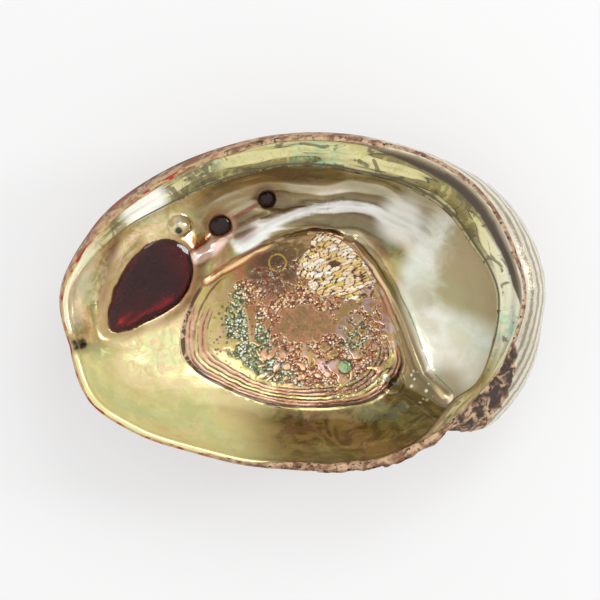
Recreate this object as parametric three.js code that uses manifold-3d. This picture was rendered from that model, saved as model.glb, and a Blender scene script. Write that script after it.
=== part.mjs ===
// An abalone shell lying on its back, mouth up, with dark red resin in three of its breathing holes.
//
// Units are millimetres. +X runs from the growing edge to the spire, +Y to the shelf, +Z up out of the mouth.
// The origin is the middle of the shell's box, at the level of the surface that it lies on.
//
// The shell is one closed skin, lofted from rings that run round it: up the outside from the resting spot,
// over the lip and its shelf, under the shelf, and down the inside to the middle of the floor. The breathing
// holes are cut through it, and each one has a resin filling of its own.
import * as THREE from "three";
import { mergeVertices } from "three/addons/utils/BufferGeometryUtils.js";
import Module from "manifold-3d";

// ---- driving dimensions ---------------------------------------------------------------------------------

const FLOOR = 7.6; // height of the inside floor at its middle, and so the wall's thickness there
const LIP_WALL = 3.2; // how far in from the crest the wall's inside starts at the thin outer lip
const SHELF_WALL = 5.6; // the same, below the shelf
const SHELF_THICKNESS = 3;
const INSIDE_SWELL = 0.85; // how much of the outside's swelling shows on the inside
const CREST_DROP = 1.6; // how far below the crest the outside begins
const HUB = [-2, -6]; // the middle that the inside fans out from
const RESTING_SPOT = [8, 0]; // the middle of the underside
const SINK = 0.9; // how much of the rounded underside is worn flat
const HOLE_RADIUS = 3.4;
const GAP = 0.3; // between the resin and the shell
const ROUND_SIDES = 18;
const STEPS_OUTSIDE = 15;
const STEPS_INSIDE = 17;
const CROWDING = 1.5; // how much closer the rings lie towards the middle of the floor
// Columns of the skin, as [from degrees, to degrees, how many], closest where the spire leaves the lip.
const COLUMNS = [[-50, -26, 9], [-26, 310, 67]];

// The crest of the lip: [x, y, height], anticlockwise from the spire end.
const CREST = [
  [82.9, 4.1, 44.0], [78.5, 20.8, 45.0], [71.0, 35.6, 46.0], [61.8, 45.6, 47.0],
  [46.9, 54.6, 48.0], [28.4, 60.0, 48.6], [9.8, 62.3, 49.0], [-8.7, 61.6, 49.3],
  [-32.8, 55.3, 49.5], [-56.9, 43.0, 49.6], [-77.4, 25.6, 49.8], [-90.0, 4.1, 50.0],
  [-87.4, -16.3, 49.0], [-80.0, -36.7, 47.6], [-64.4, -47.9, 46.2], [-44.0, -55.3, 45.0],
  [-27.3, -59.7, 44.4], [-5.0, -62.3, 44.0], [17.3, -62.7, 43.4], [33.9, -59.7, 42.8],
  [45.1, -54.5, 42.4], [61.8, -38.6, 42.4], [72.9, -25.6, 42.9], [80.3, -10.8, 43.5],
];

// The inner edge of the lip, which widens into the shelf along the top and the spire end.
const INNER_EDGE = [
  [71.8, -4.1, 40.6], [71.4, 4.6, 41.0], [68.3, 12.6, 41.6], [62.1, 21.9, 42.6],
  [55.1, 31.9, 43.6], [45.1, 39.7, 44.6], [35.8, 44.5, 45.2], [21.9, 47.7, 45.8],
  [7.2, 50.3, 46.3], [-9.1, 50.3, 46.6], [-26.9, 46.0, 46.8], [-49.5, 36.4, 47.0],
  [-69.4, 24.9, 47.6], [-86.6, 4.0, 49.0], [-84.4, -15.8, 48.0], [-77.4, -34.9, 46.8],
  [-62.6, -45.3, 45.4], [-42.8, -52.5, 44.2], [-26.7, -56.8, 43.6], [-4.9, -59.3, 43.2],
  [16.8, -59.6, 42.6], [32.6, -56.6, 42.0], [42.6, -51.2, 41.5], [55.1, -36.6, 41.0],
  [64.4, -29.3, 40.3], [70.3, -14.1, 40.3],
];

// How far the outside swells past the crest, [degrees round the hub, mm]: the spire's last turn stands out.
const SWELL = [
  [-37, 1.5], [-34.5, 8], [-31, 14.5], [-25, 17], [-12, 15.2], [0, 11.6], [18, 11.4],
  [33, 7.5], [50, 2.5], [75, 2.5], [105, 3], [130, 5], [150, 6.5], [170, 4], [192, 1], [215, 0], [290, 0],
];
// The suture of the spire's turns, a groove that winds in to the apex from where the lip ends.
const SUTURE = { apex: [-8, 0.39], start: 133, turns: 1.45, reach: 56, shrink: 0.35, radius: 2.4, bite: 1.1 };
const SKIN = { round: 75, down: 115 }; // millimetres of the outside per radian round and per unit down

// Roundness of the walls, [degrees, exponent]: 2 is an ellipse, and more is boxier.
const WALL_POWER = [
  [0, 2.7], [60, 3.4], [120, 3.7], [150, 3.3], [180, 2.7], [225, 2.2], [270, 2.2], [315, 2.4],
];
const DEPTH_POWER = [[0, 2.0], [60, 2.0], [120, 2.0], [180, 1.65], [225, 1.5], [270, 1.5], [315, 1.7]];

// The row of breathing holes, from the spire side to the growing edge, and the groove that they stand in.
const HOLE_ROW = [[14, 45], [-14.3, 39.6], [-32.2, 29.4], [-56, 8], [-74, -8], [-84, -15]];
const GROOVE = { depth: 2.2, halfWidth: 8 };
const HOLE_WALL = 6.5; // how far it is through the wall along a hole
const OPEN_HOLES = [
  { name: "resin_plug_small", at: [-14.3, 39.6], head: 3.9 },
  { name: "resin_plug_large", at: [-32.2, 29.4], head: 5.0 },
];
const FUNNEL = { depth: 1.6, radius: 5.5 }; // the dip round each open hole
const POOL_HOLE = [-58, 4];
const HEALED_HOLES = [[9, 44.6], [27, 44.4], [42, 40.5]]; // closed knobs on the outside, nearer the spire
const KNOB = { height: 2.6, radius: 7 };

// The hollow that the resin pool fills: its shoreline, anticlockwise, and the tilted plane that it lies in.
const POOL = {
  centre: [-57.5, 5.5],
  shore: [
    [-42.3, 14.0], [-44.3, 20.2], [-51.0, 24.0], [-58.0, 22.6], [-64.0, 17.6], [-69.2, 10.2], [-73.2, 1.0],
    [-74.4, -6.5], [-72.6, -10.8], [-67.0, -10.6], [-60.0, -7.6], [-52.8, -3.9], [-46.4, 1.4], [-43.2, 7.4],
  ],
  level: 19.2,
  slope: [-0.42, 0.12],
  depth: 3.4,
  dome: 0.5,
};

// The muscle scar is a low plateau, with a ridge between it and the spire's hollow.
const SCAR = {
  centre: [-4, -8],
  shore: [
    [37, -25], [35.6, -12], [31, 4], [23.5, 17.5], [11, 27.2], [-8, 25.6], [-27, 15.3], [-38, 7.5],
    [-43.5, -2], [-46.4, -14], [-45, -21], [-40, -26.5], [-29.5, -32.4], [-16, -37.5], [-1, -39.8],
    [12, -39.2], [27, -36],
  ],
  low: 0.7,
  high: 2.0,
};
const RIDGE = {
  line: [[19, 22.5], [26.5, 14], [32, 5], [38, -8], [41.5, -18], [45, -27.5], [53, -35.5]],
  height: 1.7,
  halfWidth: 3.2,
};
const SPIRE_HOLLOW = { centre: [54, -1], reach: [21, 33], depth: 4.2 };
const PIT = { centre: [33.2, -31], radius: 4.6, depth: 2.6 };
const PEARL = { centre: [-47.4, 29.4], radius: 3.5, proud: 1.9 };
const NEW_HOLE = { at: [-86.5, -16], radius: 2.6, length: 14 }; // a notch, still open to the growing edge

// ---- small helpers --------------------------------------------------------------------------------------

const TURN = 2 * Math.PI;
const degrees = (a) => (a * Math.PI) / 180;
const clamp = (x, low, high) => Math.min(high, Math.max(low, x));
const smooth = (low, high, x) => {
  const t = clamp((x - low) / (high - low), 0, 1);
  return t * t * (3 - 2 * t);
};
const mix = (a, b, t) => a + (b - a) * t;
const bell = (x) => Math.exp(-x * x);
const steps = (n, from) => Array.from({ length: n }, (_, k) => (k + from) / n);

// A smooth closed curve through [angle, value] pairs, as a function of the angle in radians.
function around(pairs) {
  const knots = pairs.map(([a, v]) => [((a % TURN) + TURN) % TURN, v]).sort((p, q) => p[0] - q[0]);
  const n = knots.length;
  const angle = (i) => knots[((i % n) + n) % n][0] + TURN * Math.floor(i / n);
  const value = (i) => knots[((i % n) + n) % n][1];
  const slope = (i) => (value(i + 1) - value(i - 1)) / (angle(i + 1) - angle(i - 1));
  return (a) => {
    const at = ((a % TURN) + TURN) % TURN;
    let i = n - 1;
    while (i >= 0 && angle(i) > at) i--;
    const width = angle(i + 1) - angle(i);
    const t = (at - angle(i)) / width;
    const [t2, t3] = [t * t, t * t * t];
    return (
      (2 * t3 - 3 * t2 + 1) * value(i) +
      (t3 - 2 * t2 + t) * width * slope(i) +
      (3 * t2 - 2 * t3) * value(i + 1) +
      (t3 - t2) * width * slope(i + 1)
    );
  };
}
const aroundDegrees = (pairs) => around(pairs.map(([a, v]) => [degrees(a), v]));
const bearing = (x, y, [cx, cy]) => Math.atan2(y - cy, x - cx);
const reach = (x, y, [cx, cy]) => Math.hypot(x - cx, y - cy);

// The radius, and the height where there is one, of a closed outline seen from a point inside it.
const polar = (centre) => ([x, y]) => [bearing(x, y, centre), reach(x, y, centre)];
const outlineRadius = (points, centre) => around(points.map(polar(centre)));
const outlineHeight = (points, centre) => around(points.map(([x, y, z]) => [bearing(x, y, centre), z]));

// Distance in plan from a point to an open run of straight lines.
function distanceToLine(x, y, line) {
  let best = Infinity;
  for (let i = 0; i + 1 < line.length; i++) {
    const [[ax, ay], [bx, by]] = [line[i], line[i + 1]];
    const [dx, dy] = [bx - ax, by - ay];
    const t = clamp(((x - ax) * dx + (y - ay) * dy) / (dx * dx + dy * dy), 0, 1);
    best = Math.min(best, Math.hypot(x - ax - t * dx, y - ay - t * dy));
  }
  return best;
}

// ---- the shell's shape ----------------------------------------------------------------------------------

const crestRadius = outlineRadius(CREST, HUB);
const crestHeight = outlineHeight(CREST, HUB);
const edgeRadius = outlineRadius(INNER_EDGE, HUB);
const edgeHeight = outlineHeight(INNER_EDGE, HUB);
const swell = aroundDegrees(SWELL);
const wallPower = aroundDegrees(WALL_POWER);
const depthPower = aroundDegrees(DEPTH_POWER);
const poolRadius = outlineRadius(POOL.shore, POOL.centre);
const scarRadius = outlineRadius(SCAR.shore, SCAR.centre);

const shelfShare = (u) => smooth(3.5, 9, crestRadius(u) - edgeRadius(u));
const insideRadius = (u) => crestRadius(u) - mix(LIP_WALL, SHELF_WALL, shelfShare(u));
const insideTop = (u) => edgeHeight(u) - mix(1.6, SHELF_THICKNESS + 3, shelfShare(u));
const hump = (depth) => Math.sin(Math.PI * Math.min(1, Math.pow(depth, 0.8)));

// The height of the resin pool's tilted surface.
function poolPlane(x, y) {
  const [dx, dy] = [x - POOL.centre[0], y - POOL.centre[1]];
  return POOL.level + POOL.slope[0] * dx + POOL.slope[1] * dy;
}

// The plain bowl of the inside, from t = 0 under the shelf to t = 1 in the middle of the floor.
function bowlPoint(u, t) {
  const [c, s] = [Math.cos((t * Math.PI) / 2), Math.sin((t * Math.PI) / 2)];
  const depth = Math.pow(s, 2 / depthPower(u));
  const wall = insideRadius(u) * Math.pow(Math.max(c, 0), 2 / wallPower(u));
  const radius = wall + INSIDE_SWELL * swell(u) * hump(depth);
  return [HUB[0] + radius * Math.cos(u), HUB[1] + radius * Math.sin(u), mix(insideTop(u), FLOOR, depth)];
}

// What the bowl's height becomes at a point in plan.
function relief(x, y, z) {
  let height = z;
  height -= GROOVE.depth * bell(distanceToLine(x, y, HOLE_ROW) / GROOVE.halfWidth);
  for (const { at } of OPEN_HOLES) height -= FUNNEL.depth * bell(reach(x, y, at) / FUNNEL.radius);
  const scar = reach(x, y, SCAR.centre) / scarRadius(bearing(x, y, SCAR.centre));
  height += mix(SCAR.low, SCAR.high, smooth(-30, 30, x)) * (1 - smooth(0.93, 1.05, scar));
  height += RIDGE.height * bell(distanceToLine(x, y, RIDGE.line) / RIDGE.halfWidth);
  const across = (x - SPIRE_HOLLOW.centre[0]) / SPIRE_HOLLOW.reach[0];
  const along = (y - SPIRE_HOLLOW.centre[1]) / SPIRE_HOLLOW.reach[1];
  height -= SPIRE_HOLLOW.depth * bell(Math.hypot(across, along));
  height -= PIT.depth * bell(reach(x, y, PIT.centre) / PIT.radius);
  const share = reach(x, y, POOL.centre) / poolRadius(bearing(x, y, POOL.centre));
  return mix(poolPlane(x, y), height, smooth(1.02, 1.6, share));
}

function insidePoint(u, t) {
  const [x, y, z] = bowlPoint(u, t);
  return [x, y, mix(z, relief(x, y, z), smooth(0.12, 0.34, t))];
}

// The point of a surface that lies over a point in plan, with the surface's normal there.
function pointOver(surface, x, y) {
  const heightOver = (px, py) => {
    const u = bearing(px, py, HUB);
    let [low, high] = [0.02, 0.999];
    for (let k = 0; k < 30; k++) {
      const middle = (low + high) / 2;
      const [qx, qy] = surface(u, middle);
      if (reach(qx, qy, HUB) > reach(px, py, HUB)) low = middle;
      else high = middle;
    }
    return surface(u, low)[2];
  };
  const step = 2;
  const normal = new THREE.Vector3(
    (heightOver(x - step, y) - heightOver(x + step, y)) / (2 * step),
    (heightOver(x, y - step) - heightOver(x, y + step)) / (2 * step),
    1,
  ).normalize();
  return { point: new THREE.Vector3(x, y, heightOver(x, y)), normal };
}

// Where the holes come out underneath, each in the middle of a low knob.
const knobCentres = [...OPEN_HOLES.map((h) => h.at), POOL_HOLE, ...HEALED_HOLES].map((at) => {
  const { point, normal } = pointOver(bowlPoint, ...at);
  return point.addScaledVector(normal, -HOLE_WALL);
});

// A point of the outside, from t = 0 at the crest to t = 1 in the middle of the underside.
function outsidePoint(u, t) {
  const [c, s] = [Math.cos((t * Math.PI) / 2), Math.sin((t * Math.PI) / 2)];
  const depth = Math.pow(s, 2 / depthPower(u));
  const radius = crestRadius(u) * Math.pow(Math.max(c, 0), 2 / wallPower(u)) + swell(u) * hump(depth);
  const shift = smooth(0.2, 1, t);
  const plain = new THREE.Vector3(
    mix(HUB[0], RESTING_SPOT[0], shift) + radius * Math.cos(u),
    mix(HUB[1], RESTING_SPOT[1], shift) + radius * Math.sin(u),
    mix(crestHeight(u) - CREST_DROP, -SINK, depth),
  );
  const knob = Math.max(...knobCentres.map((at) => KNOB.height * bell(plain.distanceTo(at) / KNOB.radius)));
  const steepness = (0.8 * radius) / crestRadius(u);
  const outwards = new THREE.Vector3(Math.cos(u) * steepness, Math.sin(u) * steepness, -1).normalize();
  return plain.addScaledVector(outwards, knob).toArray();
}

// The lip in section, from its outer side, over the crest and the shelf, to the undercut below the shelf.
function lipPoints(u) {
  const [outer, inner] = [crestRadius(u), edgeRadius(u)];
  const [crest, edge] = [crestHeight(u), edgeHeight(u)];
  const bead = Math.min(outer - inner, LIP_WALL);
  const shelf = shelfShare(u);
  const underside = edge - mix(1.2, SHELF_THICKNESS, shelf);
  const section = [
    [outer - 0.25 * bead, crest - 0.3],
    [outer - 0.6 * bead, crest],
    [mix(outer - 0.8 * bead, inner, 0.45), mix(crest, edge, 0.5) - 0.5 * shelf],
    [inner + 0.25, edge],
    [inner, mix(edge, underside, 0.5)],
    [mix(inner + 0.1, insideRadius(u), 0.3 * shelf), underside],
    [mix(inner + 0.1, insideRadius(u), 0.8 * shelf), mix(underside, insideTop(u), 0.45)],
  ];
  return section.map(([r, z]) => [HUB[0] + r * Math.cos(u), HUB[1] + r * Math.sin(u), z]);
}

// A closed skin of points in columns round the hub, with a cap in the middle of each end.
function skin(column, firstPole, lastPole) {
  const spread = ([from, to, n]) => steps(n, 0).map((share) => degrees(mix(from, to, share)));
  const angles = COLUMNS.flatMap(spread);
  const columns = angles.map(column);
  const rings = columns[0].length;
  const positions = [...columns.flat(2), ...firstPole, ...lastPole];
  const first = angles.length * rings;
  const index = [];
  for (let i = 0; i < angles.length; i++) {
    const [a, b] = [i * rings, ((i + 1) % angles.length) * rings];
    for (let k = 0; k + 1 < rings; k++) index.push(a + k, b + k, b + k + 1, a + k, b + k + 1, a + k + 1);
    index.push(first, b, a, first + 1, a + rings - 1, b + rings - 1);
  }
  const geometry = new THREE.BufferGeometry();
  geometry.setAttribute("position", new THREE.Float32BufferAttribute(positions, 3));
  geometry.setIndex(index);
  return geometry;
}

const ringsOf = (n) => steps(n, 0).map((share) => 1 - (1 - share) ** CROWDING);
const outsideColumn = (u) => ringsOf(STEPS_OUTSIDE).reverse().map((t) => outsidePoint(u, t));
const insideColumn = (u) => ringsOf(STEPS_INSIDE).map((t) => insidePoint(u, t));
const wholeColumn = (u) => [...outsideColumn(u), ...lipPoints(u), ...insideColumn(u)];
const underPole = [...RESTING_SPOT, -SINK];
const OVER_THE_MOUTH = [...HUB, 60];

const wholeSkin = () => skin(wholeColumn, underPole, insidePoint(0, 1));
const filledSkin = () => skin(outsideColumn, underPole, OVER_THE_MOUTH); // nothing hollowed out

// ---- joining and cutting --------------------------------------------------------------------------------

const wasm = await Module();
wasm.setup();

function solid(geometry, matrix = new THREE.Matrix4()) {
  const bare = new THREE.BufferGeometry();
  bare.setAttribute("position", geometry.getAttribute("position").clone());
  if (geometry.index) bare.setIndex(geometry.index.clone());
  bare.applyMatrix4(matrix);
  const merged = mergeVertices(bare, 1e-4);
  const vertProperties = merged.attributes.position.array;
  const triVerts = new Uint32Array(merged.index.array);
  return new wasm.Manifold(new wasm.Mesh({ numProp: 3, vertProperties, triVerts }));
}

function geometryOf(manifold) {
  const mesh = manifold.getMesh();
  const geometry = new THREE.BufferGeometry();
  geometry.setAttribute("position", new THREE.BufferAttribute(new Float32Array(mesh.vertProperties), 3));
  geometry.setIndex(new THREE.BufferAttribute(new Uint32Array(mesh.triVerts), 1));
  geometry.computeVertexNormals();
  return geometry;
}

// A frame at a point whose +Y runs along an axis, for turned and round pieces.
function alongAxis(point, axis) {
  const turn = new THREE.Quaternion().setFromUnitVectors(new THREE.Vector3(0, 1, 0), axis);
  return new THREE.Matrix4().compose(point, turn, new THREE.Vector3(1, 1, 1));
}

const worn = solid(new THREE.BoxGeometry(400, 400, 20), new THREE.Matrix4().makeTranslation(0, 0, -10));
const outsideSolid = solid(filledSkin()).subtract(worn);

// ---- the resin: each piece, and the same shape grown by the gap to cut its seat -------------------------

// A turned plug: a stem down the hole, and a wider head that lies in the hole's funnel.
function plug({ at, head }, grow = 0) {
  const { point, normal } = pointOver(insidePoint, ...at);
  const stem = HOLE_RADIUS - GAP + grow;
  const profile = [
    [0, -16], [stem, -16], [stem, -2.3 - grow], [head + grow, -0.9 - grow], [head + grow, 0.2],
    [head * 0.8, 0.8 + grow], [head * 0.45, 1.15 + grow], [0, 1.25 + grow],
  ];
  const turned = new THREE.LatheGeometry(profile.map(([r, h]) => new THREE.Vector2(r, h)), ROUND_SIDES);
  return solid(turned, alongAxis(point, normal));
}

// The pool fills its shoreline: a faintly domed top over a rounded bed, and a stem down the hole below it.
function pool(grow = 0) {
  const [round, out] = [36, 4];
  const surface = (i, k, height) => {
    const [a, share] = [(TURN * i) / round, k / out];
    const r = (poolRadius(a) + grow) * share;
    const [x, y] = [POOL.centre[0] + r * Math.cos(a), POOL.centre[1] + r * Math.sin(a)];
    return [x, y, poolPlane(x, y) + height(share)];
  };
  const top = (share) => POOL.dome * (1 - share ** 4) + 0.1 + grow;
  const bed = (share) => -POOL.depth * Math.pow(1 - share * share, 0.6) - 0.6 - grow;
  const positions = [...surface(0, 0, top), ...surface(0, 0, bed)];
  const rings = steps(out, 1).map((share) => Math.round(share * out));
  for (const height of [top, bed]) {
    for (const k of rings) for (let i = 0; i < round; i++) positions.push(...surface(i, k, height));
  }
  const at = (layer, k, i) => 2 + (layer * out + k - 1) * round + (i % round);
  const index = [];
  const quad = (a, b, c, d) => index.push(a, b, c, a, c, d);
  for (let i = 0; i < round; i++) {
    index.push(0, at(0, 1, i), at(0, 1, i + 1), 1, at(1, 1, i + 1), at(1, 1, i));
    for (let k = 1; k < out; k++) {
      quad(at(0, k, i), at(0, k + 1, i), at(0, k + 1, i + 1), at(0, k, i + 1));
      quad(at(1, k, i), at(1, k, i + 1), at(1, k + 1, i + 1), at(1, k + 1, i));
    }
    quad(at(0, out, i), at(1, out, i), at(1, out, i + 1), at(0, out, i + 1));
  }
  const geometry = new THREE.BufferGeometry();
  geometry.setAttribute("position", new THREE.Float32BufferAttribute(positions, 3));
  geometry.setIndex(index);
  const { point, normal } = pointOver(insidePoint, ...POOL_HOLE);
  const stemRadius = HOLE_RADIUS - GAP + grow;
  const stem = new THREE.CylinderGeometry(stemRadius, stemRadius, 16, ROUND_SIDES);
  return solid(geometry).add(solid(stem, alongAxis(point.addScaledVector(normal, -10), normal)));
}

// ---- the small features of the shell --------------------------------------------------------------------

function pearl() {
  const { point, normal } = pointOver(insidePoint, ...PEARL.centre);
  const centre = point.addScaledVector(normal, PEARL.proud - PEARL.radius);
  const ball = new THREE.SphereGeometry(PEARL.radius, 16, 10);
  return solid(ball, new THREE.Matrix4().makeTranslation(...centre));
}

// The notch of the newest hole, through the growing edge.
function notch() {
  const [x, y] = NEW_HOLE.at;
  const u = bearing(x, y, HUB);
  const bore = new THREE.CylinderGeometry(NEW_HOLE.radius, NEW_HOLE.radius, NEW_HOLE.length, ROUND_SIDES);
  const outwards = new THREE.Vector3(Math.cos(u), Math.sin(u), 0);
  return solid(bore, alongAxis(new THREE.Vector3(x, y, crestHeight(u) + 0.4), outwards));
}

// A round rod bent along the suture's spiral, just proud of the outside so that only its belly cuts in.
function suture() {
  const path = [];
  for (let turned = 0; turned <= TURN * SUTURE.turns; turned += 0.22) {
    const distance = SUTURE.reach * Math.exp(-SUTURE.shrink * turned);
    const angle = degrees(SUTURE.start) + turned;
    const u = degrees(SUTURE.apex[0]) + (distance * Math.cos(angle)) / SKIN.round;
    const t = SUTURE.apex[1] - (distance * Math.sin(angle)) / SKIN.down;
    const at = (du, dt) => new THREE.Vector3(...outsidePoint(u + du, t + dt));
    const outwards = at(0.02, 0).sub(at(-0.02, 0)).cross(at(0, -0.01).sub(at(0, 0.01))).normalize();
    path.push(at(0, 0).addScaledVector(outwards, SUTURE.radius - SUTURE.bite));
  }
  const rod = new THREE.Shape().absarc(0, 0, SUTURE.radius, 0, TURN);
  const extrudePath = new THREE.CatmullRomCurve3(path);
  const settings = { steps: 44, curveSegments: 6, bevelEnabled: false, extrudePath };
  return solid(new THREE.ExtrudeGeometry(rod, settings));
}

// ---- the finished object --------------------------------------------------------------------------------

const cuts = [worn, pool(GAP), ...OPEN_HOLES.map((hole) => plug(hole, GAP)), notch(), suture()];
const shell = cuts.reduce((body, cut) => body.subtract(cut), solid(wholeSkin()).add(pearl()));

const nacre = new THREE.MeshStandardMaterial({ color: 0xb9a878, roughness: 0.3, metalness: 0.3 });
const resin = { color: 0x3a0a0c, roughness: 0.05, transparent: true, opacity: 0.9 };

const group = new THREE.Group();
const addPiece = (name, manifold, material) => {
  const mesh = new THREE.Mesh(geometryOf(manifold), material);
  mesh.name = name;
  group.add(mesh);
};

addPiece("shell", shell, nacre);
addPiece("resin_pool", pool().intersect(outsideSolid), new THREE.MeshStandardMaterial(resin));
for (const hole of OPEN_HOLES) {
  addPiece(hole.name, plug(hole).intersect(outsideSolid), new THREE.MeshStandardMaterial(resin));
}

// The rings fan out from the hub, so the whole is moved to have its middle over the origin.
const middle = new THREE.Box3().setFromObject(group).getCenter(new THREE.Vector3());
group.position.set(-middle.x, -middle.y, 0);

export default group;
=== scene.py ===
# %% [markdown]
# # An abalone shell with dark red resin in its breathing holes
#
# The object is a big sea snail's shell, lying on its back with its mouth up. It grew as one piece, so it is
# one mesh here. Three of its breathing holes are filled with clear dark red resin: a pool and two small
# plugs. The shell could be sculpted by hand, but then its size and its outline would drift. This lesson
# bends one regular grid by formulas instead, so each ring and each column of the grid keeps its meaning
# from the first step to the last.

# %% Load the frame
import itertools
import math
from types import SimpleNamespace

import bmesh
import bpy
import numpy as np
from mathutils import Matrix, Vector


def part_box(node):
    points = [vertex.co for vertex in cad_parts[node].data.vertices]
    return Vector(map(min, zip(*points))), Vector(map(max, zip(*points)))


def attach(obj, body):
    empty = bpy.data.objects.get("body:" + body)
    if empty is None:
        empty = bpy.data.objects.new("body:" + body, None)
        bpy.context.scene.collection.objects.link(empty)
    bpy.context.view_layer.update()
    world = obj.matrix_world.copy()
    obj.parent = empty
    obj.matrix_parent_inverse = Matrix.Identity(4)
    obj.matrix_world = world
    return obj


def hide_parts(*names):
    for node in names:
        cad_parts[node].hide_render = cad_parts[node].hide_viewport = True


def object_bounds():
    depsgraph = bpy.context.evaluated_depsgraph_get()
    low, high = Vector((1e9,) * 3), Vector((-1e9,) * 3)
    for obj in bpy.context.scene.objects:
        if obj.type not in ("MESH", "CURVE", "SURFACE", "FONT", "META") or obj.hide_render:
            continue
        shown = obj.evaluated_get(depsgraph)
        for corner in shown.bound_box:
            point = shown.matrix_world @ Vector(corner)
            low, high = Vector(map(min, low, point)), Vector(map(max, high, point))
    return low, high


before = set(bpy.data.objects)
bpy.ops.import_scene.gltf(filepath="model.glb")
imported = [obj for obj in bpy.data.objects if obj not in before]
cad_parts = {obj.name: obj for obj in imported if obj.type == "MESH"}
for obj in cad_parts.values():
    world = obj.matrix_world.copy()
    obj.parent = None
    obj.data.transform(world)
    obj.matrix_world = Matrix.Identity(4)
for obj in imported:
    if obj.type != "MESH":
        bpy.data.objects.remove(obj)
cad_low, cad_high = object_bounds()
print("frame box, mm:", [round(1000 * (b - a), 1) for a, b in zip(cad_low, cad_high)])

# %% [markdown]
# ## Curves that run round the shell
#
# The lip, its inner edge and the walls all change slowly as one walks round the shell. Each is given as a
# few values at known angles, and a smooth closed curve joins them. A Bezier circle could hold the outline,
# but a plain function of the angle can be asked at every column of the grid at once.

# %% A smooth closed curve through a few values
TURN = 2 * math.pi


def around(pairs):
    knots = sorted((a % TURN, v) for a, v in pairs)
    a, v = np.array(knots).T
    slope = (np.roll(v, -1) - np.roll(v, 1)) / ((np.roll(a, -1) - np.roll(a, 1)) % TURN)

    def curve(angle):
        at = np.asarray(angle, float) % TURN
        i = (np.searchsorted(a, at, side="right") - 1) % len(a)
        j = (i + 1) % len(a)
        width = (a[j] - a[i]) % TURN
        t = ((at - a[i]) % TURN) / width
        rise = (3 - 2 * t) * t * t
        return (v[i] * (1 - rise) + v[j] * rise
                + width * t * (1 - t) * ((1 - t) * slope[i] - t * slope[j]))

    return curve


def degrees_around(pairs):
    return around([(math.radians(a), v) for a, v in pairs])


sample_curve = degrees_around([(0, 1), (90, 2), (180, 1), (270, 0)])
print("a closed curve between two of its values:", round(float(sample_curve(math.radians(45))), 2))

# %% [markdown]
# ## Steps, mixes and bells
#
# Nothing on a grown shell starts or ends at a sharp line. Each feature fades in by a smooth step, mixes two
# values, or falls off to both sides like a bell. A brush would do the same by hand, but a function works on
# every vertex at once and gives the same shell each time.

# %% Step, mix and bell
def smooth(low, high, x):
    t = np.clip((x - low) / (high - low), 0, 1)
    return t * t * (3 - 2 * t)


def mix(a, b, t):
    return a + (b - a) * t


def bell(x):
    return np.exp(-x * x)


print("a bell at 0, 1 and 2:", bell(np.arange(3)).round(2))

# %% [markdown]
# ## Outlines and lines in plan
#
# The lip, the scar and the pool are outlines round a centre, kept as a few points and asked for their reach
# at any bearing. The ridges and the row of holes are open lines, and what counts is how far a point lies
# from them. Curve objects could draw both, but they don't answer such questions for a whole grid.

# %% Reach of an outline, distance to a line
def bearing(x, y, centre):
    return np.arctan2(y - centre[1], x - centre[0])


def reach(x, y, centre):
    return np.hypot(x - centre[0], y - centre[1])


def outline(points, centre):
    return around([(bearing(p[0], p[1], centre), reach(p[0], p[1], centre)) for p in points])


def outline_height(points, centre):
    return around([(bearing(p[0], p[1], centre), p[2]) for p in points])


def distance_to_line(x, y, line):
    best = np.full(np.shape(x), 1e9)
    for (ax, ay), (bx, by) in zip(line, line[1:]):
        dx, dy = bx - ax, by - ay
        t = np.clip(((x - ax) * dx + (y - ay) * dy) / (dx * dx + dy * dy), 0, 1)
        best = np.minimum(best, np.hypot(x - ax - t * dx, y - ay - t * dy))
    return best


print("distance to a short line:", distance_to_line(np.array(4.0), np.array(3.0), [(-1, 0), (0, 0)]))

# %% [markdown]
# ## Noise for the relief
#
# A shell's surface is never even. Blender's noise module answers one point at a time, which is slow for a
# hundred thousand points, so a small lattice noise is written with numpy: random numbers at the corners of
# a lattice, blended in between, and added up at finer and finer sizes.

# %% Lattice noise
def lattice(i, j, k, seed):
    h = (i * 374761393 + j * 668265263 + k * 1442695041 + seed * 974634777) & 0xFFFFFFFF
    h = ((h ^ (h >> 13)) * 1274126177) & 0xFFFFFFFF
    h = ((h ^ (h >> 15)) * 2246822519) & 0xFFFFFFFF
    return ((h ^ (h >> 16)) & 0xFFFFFF) / 0xFFFFFF


def lattice_noise(p, size, seed):
    q = p / size
    base = np.floor(q).astype(np.int64)
    f = q - base
    f = f * f * f * (f * (f * 6 - 15) + 10)
    total = 0
    for corner_of_cell in itertools.product((0, 1), repeat=3):
        share = math.prod(mix(1 - f[..., i], f[..., i], c) for i, c in enumerate(corner_of_cell))
        total = total + share * lattice(*(base[..., i] + c for i, c in enumerate(corner_of_cell)), seed)
    return 2 * total - 1


def rough(p, size, seed, octaves=3):
    layers = [lattice_noise(p, size / 2**n, seed + n) / 2**n for n in range(octaves)]
    return sum(layers) / (2 - 2 ** (1 - octaves))


print("noise at one point:", round(float(rough(np.array([1.0, 2.0, 3.0]), 5, 1)), 3))

# %% [markdown]
# ## Cells for grains and flakes
#
# Grains, flakes and a net of crusty walls are all cells: scattered seeds, each owning the ground nearest to
# it. How much farther the second seed lies tells how near a point is to the cell's border. Scattered small
# objects would give grains too, but they wouldn't be one skin with the shell.

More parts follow.
